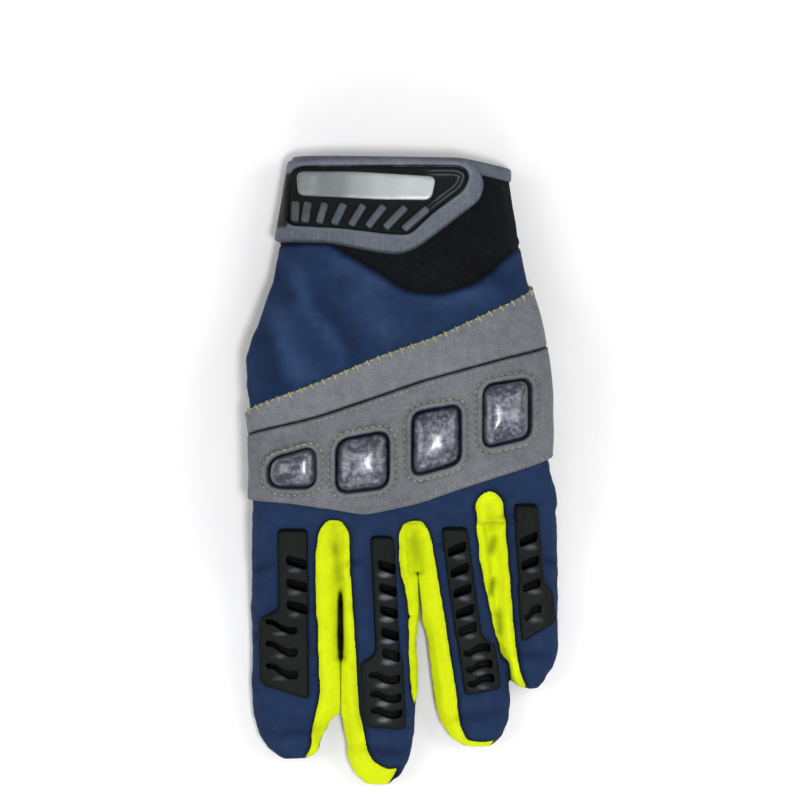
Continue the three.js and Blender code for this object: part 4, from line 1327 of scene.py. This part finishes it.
def sew(name, runs, slot, lay):
    # runs: middle (across, along), direction and length of every stitch, height over the skin
    verts, faces = [], []
    for middle, direction, length, height in runs:
        reach = direction / np.linalg.norm(direction) * length / 2
        ends = lay(np.array([middle - reach, middle, middle + reach]), np.full(3, height))
        ahead = ends[2] - ends[0]
        long = np.linalg.norm(ahead)
        ahead /= long
        up = lay(np.array([middle]), np.array([height + mm]))[0] - ends[1]
        up -= ahead * (up @ ahead)
        up /= np.linalg.norm(up)
        aside = np.cross(up, ahead)
        bow = 1 - (2 * stitchShape[:, 0]) ** 2       # the ends dip into the leather
        base = len(verts)
        for (x, y, z), lift in zip(stitchShape, bow):
            verts.append(ends[1] + ahead * x * long + aside * y * stitchSpec["thick"] +
                         up * (z * stitchSpec["thick"] + (lift - 0.6) * stitchSpec["bow"]))
        faces += [tuple(base + i for i in f) for f in stitchFaces]
    piece = newPiece(name, verts, faces)
    paint(piece, "tone", np.repeat([random.uniform(0.35, 0.65) for _ in runs], len(stitchShape)))
    shadeSmooth(piece, 80)
    finishPiece(piece, slot)
    return piece


def runningStitch(line, heightAt, closed=True):
    # stitches end to end along a line, with small gaps
    points = evenly(line, stitchSpec["length"] + stitchSpec["gap"], closed)
    ahead = np.roll(points, -1, axis=0) - np.roll(points, 1, axis=0)
    if not closed:
        points, ahead = points[1:-1], ahead[1:-1]
    heights = heightAt(points)
    return [(p, d, stitchSpec["length"], h - stitchSpec["sink"]) for p, d, h in zip(points, ahead, heights)]


guardLeft = stripOutline[:, 0].min() + stitchSpec["endInset"]
guardRight = stripOutline[:, 0].max() - stitchSpec["endInset"]


def alongCurve(curve, away, heightAt):
    # a running stitch beside a curve, from one end of the guard to the other
    across = np.linspace(guardLeft + 0.5 * mm, guardRight, 200)
    line = np.array([(u, float(curve(u)) + away) for u in across])
    return runningStitch(line, heightAt, closed=False)


edgeRun = []
for u in np.arange(guardLeft, guardRight, stitchSpec["edgeStep"]):
    slope = float(topLine(u + mm) - topLine(u - mm)) / (2 * mm)
    direction = np.array([-slope - 0.25, 1.0])
    middle = np.array([u, float(topLine(u)) - stitchSpec["edgeInset"]])
    height = float(stripHeight(middle[None])[0]) - 0.05 * mm
    edgeRun.append((middle, direction, stitchSpec["edgeLength"], height))
edgeRun += alongCurve(topLine, -stitchSpec["topInset"], stripHeight)
guardRun = alongCurve(footLine, stitchSpec["footInset"], guardHeight)
for shape in guardSpec["windows"].values():
    guardRun += runningStitch(windowOutline(*shape, grow=stitchSpec["windowAway"]), guardHeight)
guardRun += alongCurve(foldLine, -stitchSpec["foldInset"], guardHeight)
guardStitches = sew("guard_stitches", guardRun, "grey_leather", onHand)
edgeStitches = sew("strip_stitches", edgeRun, "grey_leather", onHand)
print("stitches sewn", len(guardRun), len(edgeRun))

# finishes


def linear(red, green, blue):
    # a colour as seen on screen, as the shader wants it
    shares = [c / 255 for c in (red, green, blue)]
    return tuple(((c + 0.055) / 1.055) ** 2.4 if c > 0.0405 else c / 12.92 for c in shares) + (1,)


def addNode(tree, kind, links=(), **values):
    made = tree.nodes.new("ShaderNode" + kind)
    for name, value in values.items():
        if name in made.inputs:
            made.inputs[name].default_value = value
        else:
            setattr(made, name, value)
    for socket, output in dict(links).items():
        tree.links.new(output, made.inputs[socket])
    return made


def addMath(tree, operation, *terms):
    made = addNode(tree, "Math", operation=operation)
    for socket, term in zip(made.inputs, terms):
        if isinstance(term, (int, float)):
            socket.default_value = term
        else:
            tree.links.new(term, socket)
    return made.outputs[0]


def cloudPattern(tree, place, length):
    # soft mottling, length in mm
    return addNode(tree, "TexNoise", {"Vector": place}, Scale=1 / (length * mm), Detail=3.0).outputs["Fac"]


def wavePattern(tree, place, size, turn, axes):
    # fine ribs crossing each other
    turned = addNode(tree, "Mapping", {"Vector": place}, Rotation=(0, 0, math.radians(turn))).outputs[0]
    waves = [addNode(tree, "TexWave", {"Vector": turned}, bands_direction=axis, Scale=0.314 / (size * mm),
                     Distortion=0.6, Detail=1.0).outputs["Fac"] for axis in axes]
    total = waves[0]
    for wave in waves[1:]:
        total = addMath(tree, "ADD", total, wave)
    return addMath(tree, "MULTIPLY", total, 1 / len(waves))


def grainPattern(tree, place, size):
    # the small cells of leather, with worn tops
    bent = addNode(tree, "TexNoise", {"Vector": place}, Scale=1 / (size * 2 * mm), Detail=2.0)
    moved = addNode(tree, "VectorMath", {0: bent.outputs["Color"], 2: place}, operation="MULTIPLY_ADD")
    moved.inputs[1].default_value = (size * 0.8 * mm,) * 3
    cells = addNode(tree, "TexVoronoi", {"Vector": moved.outputs[0]}, feature="DISTANCE_TO_EDGE",
                    Scale=1 / (size * mm)).outputs["Distance"]
    return addMath(tree, "MINIMUM", addMath(tree, "MULTIPLY", cells, 3.5), 1.0)


def pebblePattern(tree, place, size):
    pebbles = addNode(tree, "TexNoise", {"Vector": place}, Scale=1 / (size * mm), Detail=3.0, Roughness=0.65)
    return pebbles.outputs["Fac"]


def twillPattern(tree, place, size):
    # squares of threads that run across and along by turns
    turned = addNode(tree, "Mapping", {"Vector": place}, Rotation=(0, 0, math.radians(35))).outputs[0]
    squares = addNode(tree, "TexChecker", {"Vector": turned}, Scale=1 / (size * mm)).outputs["Fac"]
    threads = [addNode(tree, "TexWave", {"Vector": turned}, bands_direction=axis,
                       Scale=0.314 / (size * 0.5 * mm)).outputs["Fac"] for axis in "XY"]
    first = addMath(tree, "MULTIPLY", squares, threads[0])
    second = addMath(tree, "MULTIPLY", addMath(tree, "SUBTRACT", 1.0, squares), threads[1])
    return addMath(tree, "ADD", addMath(tree, "MULTIPLY", addMath(tree, "ADD", first, second), 0.5),
                   addMath(tree, "MULTIPLY", squares, 0.5))


def brushPattern(tree, place, size):
    # long fine scratches across
    fine = 1 / (size * mm)
    drawn = addNode(tree, "Mapping", {"Vector": place}, Scale=(fine / 14, fine, fine)).outputs[0]
    return addNode(tree, "TexNoise", {"Vector": drawn}, Scale=1.0, Detail=2.0).outputs["Fac"]


def addUneven(tree, tone, pattern, amount):
    # the tone goes up and down with a pattern
    change = addMath(tree, "MULTIPLY", addMath(tree, "SUBTRACT", pattern, 0.5), amount)
    return addMath(tree, "ADD", tone, change)


def makeFinish(name, colours, clouds, pattern, contrast, depth, roughness, **sockets):
    # colours at tone 0, half and 1; clouds: (length in mm, amount) of soft mottling; the pattern
    # changes the tone by its contrast and stands up by its depth in mm
    made = bpy.data.materials.new(name)
    made.use_nodes = True
    tree = made.node_tree
    shader = tree.nodes["Principled BSDF"]
    place = addNode(tree, "TexCoord").outputs["Object"]
    kind, size, extra = pattern
    relief = kind(tree, place, size, *extra)
    tone = addNode(tree, "Attribute", attribute_name="tone").outputs["Fac"]
    for length, amount in clouds:
        cloud = cloudPattern(tree, place, length)
        tone = addUneven(tree, tone, cloud, amount)
    soiled = addMath(tree, "SUBTRACT", 1.0, cloud)
    tone = addUneven(tree, tone, relief, contrast)
    ramp = addNode(tree, "ValToRGB", {"Fac": tone})
    stops = ramp.color_ramp.elements
    stops.new(0.5)
    for stop, at, colour in zip(stops, (0.0, 0.5, 1.0), colours):
        stop.position, stop.color = at, linear(*colour)
    tree.links.new(ramp.outputs["Color"], shader.inputs["Base Color"])
    uneven = addMath(tree, "ADD", roughness - 0.1, addMath(tree, "MULTIPLY", soiled, 0.2))
    worn = addMath(tree, "SUBTRACT", uneven, addMath(tree, "MULTIPLY", relief, 0.08))
    tree.links.new(worn, shader.inputs["Roughness"])
    bump = addNode(tree, "Bump", {"Height": relief}, Distance=depth * mm, Strength=1.0)
    tree.links.new(bump.outputs["Normal"], shader.inputs["Normal"])
    for socket, value in sockets.items():
        shader.inputs[socket.replace("_", " ")].default_value = value
    return made


def dress(finish, *pieces):
    for piece in pieces:
        piece.data.materials.clear()
        piece.data.materials.append(finish)


navy = makeFinish("navy stretch cloth", ((4, 8, 24), (28, 46, 78), (60, 84, 124)), [(26, 0.14), (4.5, 0.22)],
                  (wavePattern, 0.85, (45, "XY")), 0.2, 0.12, 0.85, Specular_IOR_Level=0.1, Sheen_Weight=0.05,
                  Sheen_Roughness=0.5, Sheen_Tint=linear(120, 150, 200))
yellow = makeFinish("bright stretch cloth", ((14, 20, 2), (210, 226, 15), (238, 251, 34)),
                    [(10, 0.12), (3, 0.16)], (wavePattern, 0.7, (45, "XY")), 0.06, 0.08, 0.8,
                    Specular_IOR_Level=0.1)
palmLeather = makeFinish("palm leather", ((4, 4, 6), (20, 21, 24), (46, 48, 52)), [(22, 0.3), (4, 0.2)],
                         (grainPattern, 1.1, ()), 0.18, 0.1, 0.62, Specular_IOR_Level=0.25)
neoprene = makeFinish("cuff cloth", ((2, 2, 4), (13, 15, 19), (38, 41, 46)), [(18, 0.25), (2.2, 0.35)],
                      (wavePattern, 0.8, (20, "XY")), 0.2, 0.1, 0.9, Specular_IOR_Level=0.08,
                      Sheen_Weight=0.03)
padLeather = makeFinish("guard leather", ((22, 23, 22), (104, 106, 112), (146, 148, 156)),
                        [(30, 0.2), (3.5, 0.3)], (grainPattern, 1.0, ()), 0.16, 0.08, 0.66,
                        Specular_IOR_Level=0.22)
tabRubber = makeFinish("tab rubber", ((6, 7, 9), (88, 95, 105), (130, 137, 148)), [(16, 0.25), (2.5, 0.35)],
                       (pebblePattern, 0.8, ()), 0.15, 0.08, 0.55, Specular_IOR_Level=0.22)
blackRubber = makeFinish("ladder rubber", ((1, 1, 3), (29, 33, 32), (110, 114, 122)),
                         [(14, 0.15), (2.2, 0.2)], (pebblePattern, 0.7, ()), 0.12, 0.06, 0.5,
                         Specular_IOR_Level=0.04)
carbon = makeFinish("carbon shell", ((4, 4, 8), (62, 64, 78), (146, 148, 164)), [(6, 0.7), (1.8, 1.2)],
                    (twillPattern, 1.1, ()), 0.14, 0.03, 0.36, Specular_IOR_Level=0.4, Coat_Weight=0.9,
                    Coat_Roughness=0.22)
silver = makeFinish("bare plate", ((100, 105, 108), (150, 154, 156), (200, 204, 205)), [(9, 0.2), (1.5, 0.1)],
                    (brushPattern, 0.25, ()), 0.2, 0.02, 0.42, Metallic=0.3)
thread = makeFinish("sewing thread", ((120, 122, 74), (158, 160, 108), (186, 188, 136)), [(5, 0.3), (1, 0.2)],
                    (wavePattern, 0.3, (30, "XY")), 0.3, 0.05, 0.8, Specular_IOR_Level=0.12)
clothFinish = {"navy_cloth": navy, "yellow_cloth": yellow, "black_leather": palmLeather,
               "black_neoprene": neoprene}
for node, panel in panels.items():
    dress(clothFinish[panelSlots[node]], panel)
dress(padLeather, guard, strip)
dress(thread, guardStitches, edgeStitches)
dress(tabRubber, strap, binding, *bars)
dress(blackRubber, inlay, *ladders.values())
dress(silver, plate)
dress(carbon, *caps.values())
print("finishes on")

# stage and light

stageSpec = {
    "drop": 0.2 * mm, "sky": 0.27,
    "lamps": {      # place, size, power
        "key": ((0.15, -0.10, 1.25), 0.2, 6.8), "left": ((-0.95, 0.1, 0.9), 0.9, 5.5),
        "right": ((0.95, 0.25, 0.9), 0.9, 5.5), "low": ((0.0, -1.0, 0.8), 0.8, 4.0),
    },
}
deselectAll()
bpy.ops.mesh.primitive_plane_add(size=6, location=(0, 0, -stageSpec["drop"]))
floorPiece = bpy.context.object
floorPiece.name = "floor"
bpy.ops.object.transform_apply(location=True, rotation=False, scale=False)
paint(floorPiece, "tone", np.full(4, 0.5))
dress(makeFinish("pale floor", ((225, 225, 226), (246, 246, 247), (252, 252, 252)), [(400, 0.3), (60, 0.2)],
                 (pebblePattern, 3.0, ()), 0.1, 0.02, 0.9, Specular_IOR_Level=0.1), floorPiece)
for name, (spot, size, power) in stageSpec["lamps"].items():
    light = bpy.data.lights.new(name, "AREA")
    light.shape = "DISK"
    light.size = size
    light.energy = power
    lamp = bpy.data.objects.new(name, light)
    lamp.location = spot
    lamp.rotation_euler = (-Vector(spot)).to_track_quat("-Z", "Y").to_euler()
    bpy.context.collection.objects.link(lamp)
world = bpy.data.worlds.new("sky")
bpy.context.scene.world = world
world.use_nodes = True
world.node_tree.nodes["Background"].inputs["Color"].default_value = (1, 1, 1, 1)
world.node_tree.nodes["Background"].inputs["Strength"].default_value = stageSpec["sky"]
bpy.context.scene.view_settings.view_transform = "Standard"
